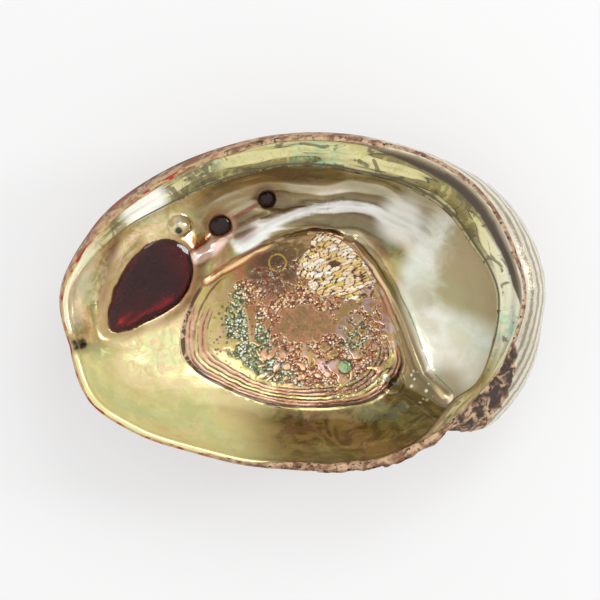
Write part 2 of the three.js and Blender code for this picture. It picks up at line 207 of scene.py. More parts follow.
# %% Cell noise
def cells(p, seed):
    """Distance to the nearest seed and to the next one, and the nearest seed's own number from 0 to 1."""
    base = np.floor(p).astype(np.int64)
    first = np.full(p.shape[:-1], 9.0)
    second = first.copy()
    own = np.zeros_like(first)
    for dx, dy in itertools.product((-1, 0, 1), repeat=2):
        i, j = base[..., 0] + dx, base[..., 1] + dy
        d = np.hypot(i + lattice(i, j, 0, seed) - p[..., 0], j + lattice(i, j, 1, seed) - p[..., 1])
        nearer = d < first
        second = np.where(nearer, first, np.minimum(second, d))
        own = np.where(nearer, lattice(i, j, 2, seed), own)
        first = np.where(nearer, d, first)
    return first, second, own


print("nearest two seeds to a point:", [round(float(d), 2) for d in cells(np.array([0.5, 0.5]), 1)[:2]])

# %% [markdown]
# ## The shell's own measures
#
# All measures are millimetres on a shell about 180 mm long, and they are scaled to the frame's shell at the
# end. The crest is the highest line of the lip. The inner edge is where the lip's top ends and the bowl
# begins: along the back and the spire end the two lie 12 mm apart, and that band is the shelf.

# %% The crest and the inner edge
FLOOR = 7.6
LIP_WALL, SHELF_WALL, SHELF_THICKNESS = 3.2, 5.6, 3.0
INSIDE_SWELL, CREST_DROP, SINK = 0.85, 1.6, 0.9
HUB, RESTING_SPOT = (-2, -6), (8, 0)

CREST = [
    (82.9, 4.1, 44.0), (78.5, 20.8, 45.0), (71.0, 35.6, 46.0), (61.8, 45.6, 47.0),
    (46.9, 54.6, 48.0), (28.4, 60.0, 48.6), (9.8, 62.3, 49.0), (-8.7, 61.6, 49.3),
    (-32.8, 55.3, 49.5), (-56.9, 43.0, 49.6), (-77.4, 25.6, 49.8), (-90.0, 4.1, 50.0),
    (-87.4, -16.3, 49.0), (-80.0, -36.7, 47.6), (-64.4, -47.9, 46.2), (-44.0, -55.3, 45.0),
    (-27.3, -59.7, 44.4), (-5.0, -62.3, 44.0), (17.3, -62.7, 43.4), (33.9, -59.7, 42.8),
    (45.1, -54.5, 42.4), (61.8, -38.6, 42.4), (72.9, -25.6, 42.9), (80.3, -10.8, 43.5),
]
INNER_EDGE = [
    (71.8, -4.1, 40.6), (71.4, 4.6, 41.0), (68.3, 12.6, 41.6), (62.1, 21.9, 42.6),
    (55.1, 31.9, 43.6), (45.1, 39.7, 44.6), (35.8, 44.5, 45.2), (21.9, 47.7, 45.8),
    (7.2, 50.3, 46.3), (-9.1, 50.3, 46.6), (-26.9, 46.0, 46.8), (-49.5, 36.4, 47.0),
    (-69.4, 24.9, 47.6), (-86.6, 4.0, 49.0), (-84.4, -15.8, 48.0), (-77.4, -34.9, 46.8),
    (-62.6, -45.3, 45.4), (-42.8, -52.5, 44.2), (-26.7, -56.8, 43.6), (-4.9, -59.3, 43.2),
    (16.8, -59.6, 42.6), (32.6, -56.6, 42.0), (42.6, -51.2, 41.5), (55.1, -36.6, 41.0),
    (64.4, -29.3, 40.3), (70.3, -14.1, 40.3),
]
crest_radius, crest_height = outline(CREST, HUB), outline_height(CREST, HUB)
edge_radius, edge_height = outline(INNER_EDGE, HUB), outline_height(INNER_EDGE, HUB)
print("lip, mm wide at the spire end:", round(float(crest_radius(0) - edge_radius(0)), 1))

# %% [markdown]
# ## Walls
#
# At the spire end the wall bulges out past the lip, and it does so more at the corner where the old whorl
# shows. The wall is nearly upright round the back and slopes gently at the growing edge. Both could be
# shaped with a lattice, but a bulge and two powers, each given by the angle, keep the wall's thickness in
# hand.

# %% How the walls swell and how round they are
swell = degrees_around([
    (-37, 1.5), (-34.5, 8), (-31, 14.5), (-25, 17), (-12, 15.2), (0, 11.6), (18, 11.4), (33, 7.5), (50, 2.5),
    (75, 2.5), (105, 3), (130, 5), (150, 6.5), (170, 4), (192, 1), (215, 0), (290, 0),
])
wall_power = degrees_around([
    (0, 2.7), (60, 3.4), (120, 3.7), (150, 3.3), (180, 2.7), (225, 2.2), (270, 2.2), (315, 2.4),
])
depth_power = degrees_around([(0, 2), (60, 2), (120, 2), (180, 1.65), (225, 1.5), (270, 1.5), (315, 1.7)])


def shelf_share(u):
    return smooth(3.5, 9, crest_radius(u) - edge_radius(u))


def inside_radius(u):
    return crest_radius(u) - mix(LIP_WALL, SHELF_WALL, shelf_share(u))


def inside_top(u):
    return edge_height(u) - mix(1.6, SHELF_THICKNESS + 3, shelf_share(u))


def hump(depth):
    return np.sin(math.pi * np.minimum(1, depth**0.8))


print("widest bulge of the wall, mm:", round(float(swell(TURN * np.arange(360) / 360).max()), 1))

# %% [markdown]
# ## What lies inside
#
# A real abalone has a row of breathing holes along one side, a rough scar where its muscle held on, and a
# hollow under the spire. Here two ridges frame the scar. All of them are placed once, in plan, and the
# relief, the resin and the colours share these places, so nothing slides apart.

# %% The features of the inside
HOLE_ROW = [(14, 45), (-14.3, 39.6), (-32.2, 29.4), (-56, 8), (-74, -8), (-84, -15)]
SMALL_HOLE, LARGE_HOLE, POOL_HOLE = (-14.3, 39.6), (-32.2, 29.4), (-58, 4)
HEALED_HOLES = [(9, 44.6), (27, 44.4), (42, 40.5)]
POOL_CENTRE = (-57.5, 5.5)
POOL_SHORE = [
    (-42.3, 14.0), (-44.3, 20.2), (-51.0, 24.0), (-58.0, 22.6), (-64.0, 17.6), (-69.2, 10.2), (-73.2, 1.0),
    (-74.4, -6.5), (-72.6, -10.8), (-67.0, -10.6), (-60.0, -7.6), (-52.8, -3.9), (-46.4, 1.4), (-43.2, 7.4),
]
POOL_LEVEL, POOL_SLOPE, POOL_DEPTH, POOL_DOME = 19.2, (-0.42, 0.12), 3.4, 1.0
SCAR_CENTRE = (-4, -8)
SCAR_SHORE = [
    (37, -25), (35.6, -12), (31, 4), (23.5, 17.5), (11, 27.2), (-8, 25.6), (-27, 15.3), (-38, 7.5), (-43.5, -2),
    (-46.4, -14), (-45, -21), (-40, -26.5), (-29.5, -32.4), (-16, -37.5), (-1, -39.8), (12, -39.2), (27, -36),
]
RIDGE = [(19, 22.5), (26.5, 14), (32, 5), (38, -8), (41.5, -18), (45, -27.5), (53, -35.5)]
GOLD_RIDGE = [(-37.5, 8), (-33, 10.8), (-27, 14.6), (-18.5, 19.4), (-9, 23.5), (1, 26)]
SILVER_ARC = [(-24, 23), (-11, 31), (0, 35.5), (14, 37.6), (29, 35), (40, 30), (47, 24)]
NOTCH, NOTCH_DEPTH = [(-90, -17), (-83.5, -15.4)], 3.4
HOLLOW_CENTRE, HOLLOW_REACH, HOLLOW_DEPTH = (54, -1), (21, 33), 4.2
PIT, PIT_HEART, PEARL = (33.2, -31), (34.2, -30.6), (-47.4, 29.4)
SADDLE = [(-41, 17.2), (-36, 20.2), (-30.5, 26)]
pool_radius, scar_radius = outline(POOL_SHORE, POOL_CENTRE), outline(SCAR_SHORE, SCAR_CENTRE)


def pool_plane(x, y):
    return POOL_LEVEL + POOL_SLOPE[0] * (x - POOL_CENTRE[0]) + POOL_SLOPE[1] * (y - POOL_CENTRE[1])


def pool_share(x, y):
    return reach(x, y, POOL_CENTRE) / pool_radius(bearing(x, y, POOL_CENTRE))


def scar_share(x, y):
    return reach(x, y, SCAR_CENTRE) / scar_radius(bearing(x, y, SCAR_CENTRE))


print("resin pool level at its centre, mm:", pool_plane(*POOL_CENTRE))

# %% [markdown]
# ## The bowl and the back
#
# The inside and the outside are each a bowl whose walls follow a rounded square rather than a circle,
# because an abalone's wall is steep near the lip and its floor is wide. Blender has no such shape, but two
# powers of a sine and a cosine give it for every angle round the shell.

# %% A point of the bowl, before its relief
def bowl(u, t):
    c, s = np.cos(t * math.pi / 2), np.sin(t * math.pi / 2)
    depth = s ** (2 / depth_power(u))
    radius = inside_radius(u) * np.maximum(c, 0) ** (2 / wall_power(u)) + INSIDE_SWELL * swell(u) * hump(depth)
    return HUB[0] + radius * np.cos(u), HUB[1] + radius * np.sin(u), mix(inside_top(u), FLOOR, depth)


def relief(x, y, z):
    height = z - 2.2 * bell(distance_to_line(x, y, HOLE_ROW) / 8)
    for hole in (SMALL_HOLE, LARGE_HOLE):
        height = height - 1.6 * bell(reach(x, y, hole) / 5.5)
    height = height + mix(0.7, 2.0, smooth(-30, 30, x)) * (1 - smooth(0.93, 1.05, scar_share(x, y)))
    height = height + 1.7 * bell(distance_to_line(x, y, RIDGE) / 3.2)
    across, along = (x - HOLLOW_CENTRE[0]) / HOLLOW_REACH[0], (y - HOLLOW_CENTRE[1]) / HOLLOW_REACH[1]
    height = height - HOLLOW_DEPTH * bell(np.hypot(across, along)) - 2.6 * bell(reach(x, y, PIT) / 4.6)
    return mix(pool_plane(x, y), height, smooth(1.02, 1.6, pool_share(x, y)))


def inside(u, t):
    x, y, z = bowl(u, t)
    return x, y, mix(z, relief(x, y, z), smooth(0.12, 0.34, t))


print("deepest point of the bowl, mm:", round(float(inside(0.0, 1.0)[2]), 1))

# %% [markdown]
# ## Where the holes come out
#
# The holes run square through the wall, and each ends in a low knob on the back. The inside is known by
# angle and depth only, so the height over a place in plan is found by halving, and the slope by comparing
# near points. A ray cast would need the finished mesh, which doesn't exist yet.

# %% Height and slope over a place
WALL_AT_HOLES = 6.5


def height_over(surface, x, y):
    u = bearing(x, y, HUB)
    low, high = 0.02, 0.999
    for _ in range(30):
        middle = (low + high) / 2
        qx, qy, _z = surface(u, middle)
        low, high = (middle, high) if reach(qx, qy, HUB) > reach(x, y, HUB) else (low, middle)
    return float(surface(u, low)[2])


def point_over(surface, x, y, step=2):
    slope_x = height_over(surface, x - step, y) - height_over(surface, x + step, y)
    slope_y = height_over(surface, x, y - step) - height_over(surface, x, y + step)
    normal = Vector((slope_x / (2 * step), slope_y / (2 * step), 1)).normalized()
    return Vector((x, y, height_over(surface, x, y))), normal


knobs = []
for hole in [SMALL_HOLE, LARGE_HOLE, POOL_HOLE, *HEALED_HOLES]:
    point, normal = point_over(bowl, *hole)
    knobs.append(point - WALL_AT_HOLES * normal)
print("holes come out underneath at", [[round(c, 1) for c in k] for k in knobs])

# %% [markdown]
# ## The back
#
# The outside is the same kind of bowl, a wall's thickness larger, and it leans towards the spot that it
# rests on. The knobs are added along the wall's own slope, so that they stand up from the surface and don't
# slide down it.

# %% A point of the back
KNOB_HEIGHT, KNOB_WIDTH = 2.6, 7


def back(u, t):
    c, s = np.cos(t * math.pi / 2), np.sin(t * math.pi / 2)
    depth = s ** (2 / depth_power(u))
    radius = crest_radius(u) * np.maximum(c, 0) ** (2 / wall_power(u)) + swell(u) * hump(depth)
    shift = smooth(0.2, 1, t)
    x = mix(HUB[0], RESTING_SPOT[0], shift) + radius * np.cos(u)
    y = mix(HUB[1], RESTING_SPOT[1], shift) + radius * np.sin(u)
    z = mix(crest_height(u) - CREST_DROP, -SINK, depth)
    knob = np.zeros(np.shape(z))
    for k in knobs:
        away = np.sqrt((x - k.x) ** 2 + (y - k.y) ** 2 + (z - k.z) ** 2)
        knob = np.maximum(knob, KNOB_HEIGHT * bell(away / KNOB_WIDTH))
    steep = 0.8 * radius / crest_radius(u)
    length = np.hypot(steep, 1)
    return x + knob * steep * np.cos(u) / length, y + knob * steep * np.sin(u) / length, z - knob / length


print("back under the spire end, mm:", [round(float(c), 1) for c in back(0.0, 0.5)])

# %% [markdown]
# ## The lip
#
# Between the two bowls the shell turns over its lip. At the growing edge that is a thin round bead. Along
# the back it is a broad shelf, undercut below. A bevel gives only the bead, so the lip is drawn as a
# section of seven points whose places follow the angle.

# %% The lip in section
def lip(u):
    outer, inner, crest, edge = crest_radius(u), edge_radius(u), crest_height(u), edge_height(u)
    bead, shelf = np.minimum(outer - inner, LIP_WALL), shelf_share(u)
    under = edge - mix(1.2, SHELF_THICKNESS, shelf)
    undercut = inside_radius(u)
    section = [
        (outer - 0.25 * bead, crest - 0.3),
        (outer - 0.6 * bead, crest),
        (mix(outer - 0.8 * bead, inner, 0.45), mix(crest, edge, 0.5) - 0.5 * shelf),
        (inner + 0.25, edge),
        (inner, mix(edge, under, 0.5)),
        (mix(inner + 0.1, undercut, 0.3 * shelf), under),
        (mix(inner + 0.1, undercut, 0.8 * shelf), mix(under, inside_top(u), 0.45)),
    ]
    return [(HUB[0] + r * np.cos(u), HUB[1] + r * np.sin(u), z) for r, z in section]


print("section of the lip at the spire end:", [[round(float(c), 1) for c in p] for p in lip(0.0)])

# %% [markdown]
# ## One regular grid
#
# The mesh starts as a plain drum: a straight line of vertices is spun once round, with a pole at each end.
# After that only vertices move. A ring's height on the drum tells its number, and its angle tells its
# column, so the formulas above can say where each vertex belongs.

# %% Spin the drum
COLUMNS, BACK_RINGS, LIP_RINGS, BOWL_RINGS = 500, 46, 24, 126
RINGS = BACK_RINGS + LIP_RINGS + BOWL_RINGS


def spun_form(profile, columns):
    bm = bmesh.new()
    line = [bm.verts.new((r, 0, z)) for r, z in profile]
    edges = [bm.edges.new(pair) for pair in zip(line, line[1:])]
    bmesh.ops.spin(bm, geom=line + edges, cent=(0, 0, 0), axis=(0, 0, 1), angle=TURN, steps=columns,
                   use_merge=True)
    bmesh.ops.remove_doubles(bm, verts=bm.verts, dist=1e-5)
    bmesh.ops.recalc_face_normals(bm, faces=bm.faces)
    return bm


drum = spun_form([(0, -1), *((1, k) for k in range(RINGS)), (0, RINGS)], COLUMNS)
where = np.array([v.co for v in drum.verts])
ring = np.rint(where[:, 2]).astype(int)
column = np.rint(np.arctan2(where[:, 1], where[:, 0]) / TURN * COLUMNS).astype(int) % COLUMNS
print("drum:", len(drum.verts), "vertices,", len(drum.faces), "faces")

# %% [markdown]
# ## Even spacing
#
# Equal steps of the formulas give unequal steps on the shell: crowded at the lip and sparse on the floor.
# Each column is therefore laid out finely first, measured along its length, and cut again into rings. The
# scar on the floor has the finest detail, so rings lie closer there.

# %% Lay out and cut every column
u = TURN * np.arange(COLUMNS) / COLUMNS


def added_up(steps):
    return np.concatenate([np.zeros((COLUMNS, 1)), np.cumsum(steps, axis=1)], axis=1)


def laid_out(surface, rings, weight=lambda t: 1.0):
    t = 1 - (1 - np.linspace(0, 1, 400)) ** 1.55
    x, y, z = surface(u[:, None], t[None, :])
    step = np.sqrt(np.diff(x) ** 2 + np.diff(y) ** 2 + np.diff(z) ** 2)
    along = added_up(step * weight((t[1:] + t[:-1]) / 2))
    share = np.arange(rings) / rings
    return np.array([np.interp(share * a[-1], a, t) for a in along])


def spline(points, rings):
    p = np.array(points).transpose(2, 0, 1)
    before, after = p[:, :-3], p[:, 3:]
    a, b = p[:, 1:-2], p[:, 2:-1]
    fine = []
    for f in np.linspace(0, 1, 12, endpoint=False):
        fine.append(0.5 * (2 * a + (b - before) * f + (2 * before - 5 * a + 4 * b - after) * f**2
                           + (3 * a - before - 3 * b + after) * f**3))
    fine = np.array(fine).transpose(1, 2, 0, 3).reshape(COLUMNS, -1, 3)
    along = added_up(np.linalg.norm(np.diff(fine, axis=1), axis=2))
    share = (np.arange(rings) + 1) / (rings + 1)
    cut = [[np.interp(share * a[-1], a, q[:, i]) for i in range(3)] for a, q in zip(along, fine)]
    return np.array(cut).transpose(0, 2, 1)


back_t = laid_out(back, BACK_RINGS)
bowl_t = laid_out(inside, BOWL_RINGS, lambda t: 1 + 0.9 * smooth(0.45, 0.6, t))
start, a_little_on = np.zeros(COLUMNS), np.full(COLUMNS, 0.03)
leading_in, leading_out = [back(u, a_little_on), back(u, start)], [inside(u, start), inside(u, a_little_on)]
lip_points = spline([*leading_in, *lip(u), *leading_out], LIP_RINGS)
back_points = np.stack(back(u[:, None], back_t[:, ::-1]), axis=-1)
bowl_points = np.stack(inside(u[:, None], bowl_t), axis=-1)
shape = np.concatenate([back_points, lip_points, bowl_points], axis=1)
t_inside = np.concatenate([np.zeros((COLUMNS, BACK_RINGS + LIP_RINGS)), bowl_t], axis=1)
on_bowl = np.arange(RINGS)[None, :] >= BACK_RINGS + LIP_RINGS
on_back = np.arange(RINGS)[None, :] < BACK_RINGS
X, Y, Z = shape[..., 0], shape[..., 1], shape[..., 2]
print("laid out", shape.shape, "from", shape.min((0, 1)).round(1), "to", shape.max((0, 1)).round(1))

# %% [markdown]
# ## Which way the surface faces
#
# Relief is pushed out along the surface's own normal. Blender could work the normals out from the mesh, but
# on a regular grid the cross product of the two grid directions gives them straight away.

# %% Normals of the grid
def facing(points):
    across = np.roll(points, -1, 0) - np.roll(points, 1, 0)
    along = np.gradient(points, axis=1)
    n = np.cross(across, along)
    return n / np.maximum(np.linalg.norm(n, axis=-1, keepdims=True), 1e-9)


N = facing(shape)
print("the floor faces up:", bool((N[:, -5, 2] > 0).all()))

# %% [markdown]
# ## Where things are
#
# Nearly all the colour and the fine relief depend on a few distances: how far a point lies from the scar's
# edge, the ridge, the row of holes, the lip. They are worked out once, used for the relief here, and stored
# on the vertices so that the materials can read the same lines.

# %% Distances on the inside
plan = np.stack([X, Y, np.zeros_like(X)], axis=-1)
floor_share = smooth(0.12, 0.34, t_inside)
scar = scar_share(X, Y) + 3 * (1 - floor_share)
scar_angle = bearing(X, Y, SCAR_CENTRE)
ridge = distance_to_line(X, Y, RIDGE) + 60 * (1 - floor_share)
gold = distance_to_line(X, Y, GOLD_RIDGE) + 60 * (1 - floor_share)
row = distance_to_line(X, Y, HOLE_ROW) + 60 * (1 - floor_share)
pool = pool_share(X, Y) + 3 * (1 - smooth(0.06, 0.2, t_inside))
hollow = np.hypot((X - HOLLOW_CENTRE[0] - 2) / 20, (Y - HOLLOW_CENTRE[1]) / 36) + 3 * (1 - floor_share)
past_ridge = (X - 33 + 0.42 * (Y + 8)) / 10
print("vertices inside the scar:", int((scar < 1).sum()), "and under the pool:", int((pool < 1).sum()))

# %% [markdown]
# ## Across the lip
#
# The lip's crust, its shelf and the back's upper edge are all bands that follow the crest. How far a point
# lies inside or outside the crest, and what share of the shelf it has crossed, places each band.

# %% Distances across the lip
hub_reach = reach(X, Y, HUB)
crest_here, edge_here = crest_radius(u)[:, None], edge_radius(u)[:, None]
inward, below_crest = crest_here - hub_reach, crest_height(u)[:, None] - Z
from_crest = np.where(on_back, -np.sqrt(inward**2 + below_crest**2), inward)
across_shelf = np.where(on_back, -0.2, np.clip(inward / np.maximum(crest_here - edge_here, 1), -0.2, 1.6))
every_column = np.ones((COLUMNS, 1))
on_top = smooth(BACK_RINGS + 1, BACK_RINGS + 4, np.arange(RINGS))[None, :] * every_column
print("back reaches", round(float(-from_crest.min())), "mm from the crest")

# %% [markdown]
# ## How the back grew
#
# A snail adds shell at the lip only, so every old lip is still there as a faint ridge on the back, and all
# of them wind in to the apex of the spire. To draw them, the back is unrolled flat round the resting spot,
# and each point asks how large the shell was when that point was its lip: 1 is today's lip and 0 the apex.

# %% Growth lines and spiral cords
APEX, WINDING = (math.radians(-8), 0.39), 1.1
grow_rings = BACK_RINGS + 4
profile = shape[:, :grow_rings]
steps = np.linalg.norm(np.diff(profile, axis=1), axis=2)
from_under = added_up(steps) + reach(profile[:, :1, 0], profile[:, :1, 1], RESTING_SPOT)
flat_x, flat_y = from_under * np.cos(u)[:, None], from_under * np.sin(u)[:, None]


def unrolled(angle, t):
    i = np.rint(angle / TURN * COLUMNS).astype(int) % COLUMNS
    length = [np.interp(1 - s, 1 - back_t[c, ::-1], from_under[c, :BACK_RINGS]) for c, s in zip(i, t)]
    return np.array(length) * np.cos(angle), np.array(length) * np.sin(angle)


apex_x, apex_y = (float(c[0]) for c in unrolled(np.array([APEX[0]]), np.array([APEX[1]])))
apex = (apex_x, apex_y)
psi, spire_mm = bearing(flat_x, flat_y, apex), reach(flat_x, flat_y, apex)
rim = around(list(zip(psi[::5, BACK_RINGS], spire_mm[::5, BACK_RINGS])))
age = np.clip(spire_mm / rim(psi), 0, 1)
for _ in range(6):
    age = np.clip(spire_mm / rim(psi + WINDING * (1 - age)), 0.0, 1.05)
cord_angle = psi + WINDING * (1 - age)
print("apex unrolled at", round(apex_x), round(apex_y), "mm")

# %% [markdown]
# ## The suture
#
# Where one turn of the spire meets the next there is a groove, the suture. It is a logarithmic spiral round
# the apex, because a snail grows by the same share with each turn.

# %% The suture as a spiral
SUTURE_START, SUTURE_TURNS, SUTURE_REACH, SUTURE_CLOSING = math.radians(133), 1.45, 56, 0.35
turned = np.arange(0, TURN * SUTURE_TURNS, 0.12)
far = SUTURE_REACH * np.exp(-SUTURE_CLOSING * turned)
suture_u = APEX[0] + far * np.cos(SUTURE_START + turned) / 75
suture_t = np.clip(APEX[1] - far * np.sin(SUTURE_START + turned) / 115, 0.01, 0.95)
suture = distance_to_line(flat_x, flat_y, list(zip(*unrolled(suture_u, suture_t))))
print("suture drawn through", len(turned), "points")


def whole(part, fill):
    out = np.full((COLUMNS, RINGS), float(fill))
    out[:, :grow_rings] = part
    return out


age, cord_angle = whole(age, 1), whole(cord_angle, 0)
spire_mm, suture = whole(spire_mm, 99), whole(suture, 99)

# %% [markdown]
# ## Terraces of the scar
#
# Relief is a distance that each vertex moves along the way it faces, and it is added up from here on. The
# muscle scar is bordered below by terraces: each year the muscle moved on a little and left a step. A sine
# of the share of the way to the scar's edge gives the steps. A displace modifier could do it too, with a
# texture in place of the sum.

# %% Terraces of the scar
TERRACE_START, TERRACE_STEP, TERRACE_HEIGHT = 0.75, 0.043, 0.12
swirl = rough(plan, 13, 11)
terrace_side = smooth(-0.15, 0.45, np.cos(scar_angle - math.radians(258)))
terraces = terrace_side * smooth(0.75, 0.79, scar) * (1 - smooth(0.98, 1.06, scar))
terrace_phase = (scar + 0.022 * swirl + 0.012 * rough(plan, 4, 15) - TERRACE_START) / TERRACE_STEP
push = TERRACE_HEIGHT * terraces * np.sin(TURN * terrace_phase)
print("terraces in the scar's border:", round((1 - TERRACE_START) / TERRACE_STEP))

# %% [markdown]
# ## Crust of the scar
#
# Where the muscle sat, the shell is crusted with copper and green grains in a net, and one corner has long
# overlapping flakes. Both come from cell noise: the net is where two cells meet, and each flake is one
# stretched cell, raised by its own number. Modelling each grain apart would need a hundred thousand of
# them.

# %% Net of grains
bent = plan[..., :2] + np.stack([rough(plan, 5, 21, 2), rough(plan, 5, 25, 2)], -1) * 2.2
web_first, web_second, _own = cells(bent / 3.7, 27)
smooth_patch = 1 - smooth(0.85, 1.0, np.hypot((X + 1) / 10, (Y + 7) / 7.5) + 0.5 * rough(plan, 7, 33))
in_flakes = 1 - smooth(0.85, 1.05, np.hypot((X - 15) / 18.5, (Y - 14) / 13) + 0.34 * rough(plan, 6, 31))
in_flakes = in_flakes * (1 - smooth(0.93, 0.98, scar))
grainy = 1 - smooth(0.62, 0.78, scar + 0.1 * swirl - 0.16 * smooth(-5, 15, X))
grainy = grainy * (1 - in_flakes) * (1 - smooth_patch) * smooth(-32, -28, X)
web_width = 0.42 + 0.4 * rough(plan, 11, 35)
broken = smooth(-0.42, -0.2, rough(plan, 5, 37, 2))
crust = grainy * broken * (1 - smooth(0.6, 1.0, (web_second - web_first) / web_width))
bead_first = cells(plan[..., :2], 41)[0]
push = push + crust * (0.15 + 0.5 * np.clip(1 - 1.2 * bead_first, 0, 1))
print("crusted share of the scar:", round(float((crust > 0.5).sum() / (scar < 1).sum()), 2))

# %% Flakes
FLAKE_SIZE = np.array([3.5, 1.35])
tilted = np.stack([X * 0.96 + Y * 0.28, -X * 0.28 + Y * 0.96], axis=-1) + 0.6 * rough(plan, 5, 51)[..., None]
flake_first, flake_second, flake_own = cells(tilted / FLAKE_SIZE, 61)
flake_gap = smooth(0.02, 0.2, flake_second - flake_first)
push = push + in_flakes * (0.7 * (flake_own - 0.3) * flake_gap - 0.35 * (1 - flake_gap))
print("flaked share of the scar:", round(float((in_flakes > 0.5).sum() / (scar < 1).sum()), 2))

# %% [markdown]
# ## Relief of the bowl
#
# Mother-of-pearl is smooth but never flat. Long streaks run under the shelf, two ridges frame the scar, a
# blister pearl stands by the resin and a pit lies at the scar's corner. Each is a bell across a line or
# round a place, which keeps its height and its width apart, as a sculpting brush does.

# %% Streaks and dents
TO_FLOOR = 60
toward_edge = hub_reach / edge_here
streak_space = np.stack([toward_edge * 30 + 2 * rough(plan, 22, 85, 2), 3 * u[:, None] + 0 * X, 0 * X], -1)
streaks = rough(streak_space, 1.6, 81)
dents = rough(shape, 15, 71) * 0.42 + rough(plan, 6, 75, 2) * 0.1
below_wall = TO_FLOOR * (1 - smooth(0.06, 0.2, t_inside))
under_shelf = smooth(16, 26, Y + 0.25 * X * (X < 0)) * smooth(-48, -30, X) * (1 - smooth(52, 64, X))
under_shelf = under_shelf * floor_share
push = push + on_bowl * (dents * (1 - 0.6 * (scar < 1)) + 0.3 * streaks * under_shelf)
print("streaks, from and to:", streaks.min().round(2), streaks.max().round(2))

# %% Ridges, pearl and pit
PEARL_SIZE, PEARL_HEIGHT = 4.0, 3.0
pearl_mm, pit_mm = reach(X, Y, PEARL), reach(X, Y, PIT_HEART)
silver_mm = distance_to_line(X, Y, SILVER_ARC) + below_wall
saddle = distance_to_line(X, Y, SADDLE) + below_wall
gold = gold + 0.5 * rough(plan, 5, 87, 2) + smooth(-28, -5, X) * 0.5
push = push + 0.6 * bell(gold / 0.6) + on_bowl * 0.35 * bell(ridge / 0.8)
push = push + (0.9 * bell(silver_mm / 3.0) + 1.2 * bell(saddle / 2.4)) * on_bowl
push = push + PEARL_HEIGHT * np.sqrt(np.clip(1 - (pearl_mm / PEARL_SIZE) ** 2, 0, 1)) * on_bowl
push = push - 1.6 * bell(pit_mm / 1.3) * on_bowl + 0.55 * bell((pit_mm - 3.6) / 0.7) * on_bowl
print("relief so far, mm:", push.min().round(2), "to", push.max().round(2))

# %% [markdown]
# ## Beds for the resin
#
# The resin needs depth under its surface, or it would look like paint. The shell is hollowed below the pool
# and the plugs, straight down, so that the shoreline stays where it was drawn.

# %% Beds for the resin
PLUG_DEPTH, BED_ROUNDNESS = 2.4, 0.6
pool_bed = POOL_DEPTH * np.clip(1 - pool**2, 0, 1) ** BED_ROUNDNESS * on_bowl
for hole, size in ((SMALL_HOLE, 3.4), (LARGE_HOLE, 4.4)):
    dip = np.clip(1 - (reach(X, Y, hole) / size) ** 2, 0, 1) ** BED_ROUNDNESS
    pool_bed = pool_bed + PLUG_DEPTH * dip * on_bowl
print("deepest bed, mm:", pool_bed.max().round(2))

# %% [markdown]
# ## Crust of the lip
#
# The lip's top is dull lime with a brown skin, thick and crumbly at the corner by the spire and along the
# lower edge, and thin at the growing edge. Its width follows the angle, and noise frays it. The shelf
# inside it is smooth, with faint growth lines along it.

# %% Relief of the lip and the shelf
compass = np.degrees(u)[:, None]
lip_noise, fine_lip = rough(shape, 7, 91, 4), rough(shape, 2.2, 95, 2)
crusty = np.clip(0.3 + 1.2 * bell((compass - 308) / 32), 0, 1)
corner = smooth(315, 325, compass) * (1 - smooth(344, 358, compass))
bottom_lip = bell((compass - 292) / 30)
upper_lip = smooth(0.2, 0.9, np.cos(u - math.radians(60)))[:, None]
crust_width = 0.7 + 3.2 * bottom_lip + 0.8 * corner + 0.8 * upper_lip
crust_centre = 0.3 - 1.5 * corner + 0.9 * bottom_lip
off_centre = (np.abs(from_crest - crust_centre) + 0.9 * lip_noise) / crust_width
rim_crust = (1 - smooth(0.75, 1.25, off_centre)) * ~on_bowl
crust_out = mix(17, 6, smooth(324, 354, compass)) + 3 * lip_noise
outside_crust = smooth(0.3, 0.7, corner) * (from_crest < 0) * (1 - smooth(-1.5, 0, -from_crest - crust_out))
rim_crust = np.maximum(rim_crust, outside_crust * on_back)
on_shelf = on_top * shelf_share(u)[:, None] * ~on_bowl * smooth(-0.5, 1.0, from_crest)
shelf_space = np.stack([across_shelf * 7 + 0.6 * rough(plan, 18, 97, 2), u[:, None] * 3 + 0 * X, 0 * X], -1)
shelf_lines = rough(shelf_space, 1, 99, 2)
mid_shelf = on_shelf * smooth(0.05, 0.2, across_shelf) * (1 - smooth(0.9, 1.0, across_shelf))
push = push + rim_crust * (0.45 * lip_noise + 0.45 * fine_lip) * crusty + 0.22 * shelf_lines * mid_shelf
print("crust of the lip, mm wide:", crust_width.min().round(1), "to", crust_width.max().round(1))

# %% [markdown]
# ## Relief of the back
#
# The back of a red abalone has a growth ridge for every old lip, crossed by low cords that run from the
# apex to the lip, and lumps of lime that worms and barnacles left. The spire is worn down to the nacre,
# where all of this is flatter. Age and winding angle are known, so ridges and cords are a saw and a cosine
# of them.

# %% Relief of the back
solid_noise = rough(shape, 18, 101, 4)
worn = 1 - smooth(30, 44, spire_mm + 8 * solid_noise)
beside_spire = bell(((compass + 180) % 360 - 198) / 42) ** 0.5
beside_spire = beside_spire * (1 - smooth(14, 26, -from_crest + 6 * solid_noise))
worn = np.maximum(worn, smooth(0.35, 0.6, beside_spire))
on_back_soft = (1 - smooth(BACK_RINGS - 2, BACK_RINGS + 3, np.arange(RINGS)))[None, :] * every_column
wobble = 0.012 * rough(shape, 25, 111)
growth_phase = 26 * (age + wobble) ** 0.8
growth_space = np.stack([growth_phase * 2, cord_angle * 3, 0 * X], -1)
ridged = 0.75 * (np.mod(growth_phase, 1) ** 2.2 - 0.3) + 0.3 * rough(growth_space, 1, 121, 2)
cords = 0.30 * np.cos(44 * cord_angle + 2 * solid_noise) * smooth(0.15, 0.4, age)
lumps = smooth(0.18, 0.6, rough(shape, 11, 131)) * (0.6 + rough(shape, 3.2, 141, 2))
push_back = (1 - 0.75 * worn) * (ridged + cords) + 1.1 * lumps * (1 - worn)
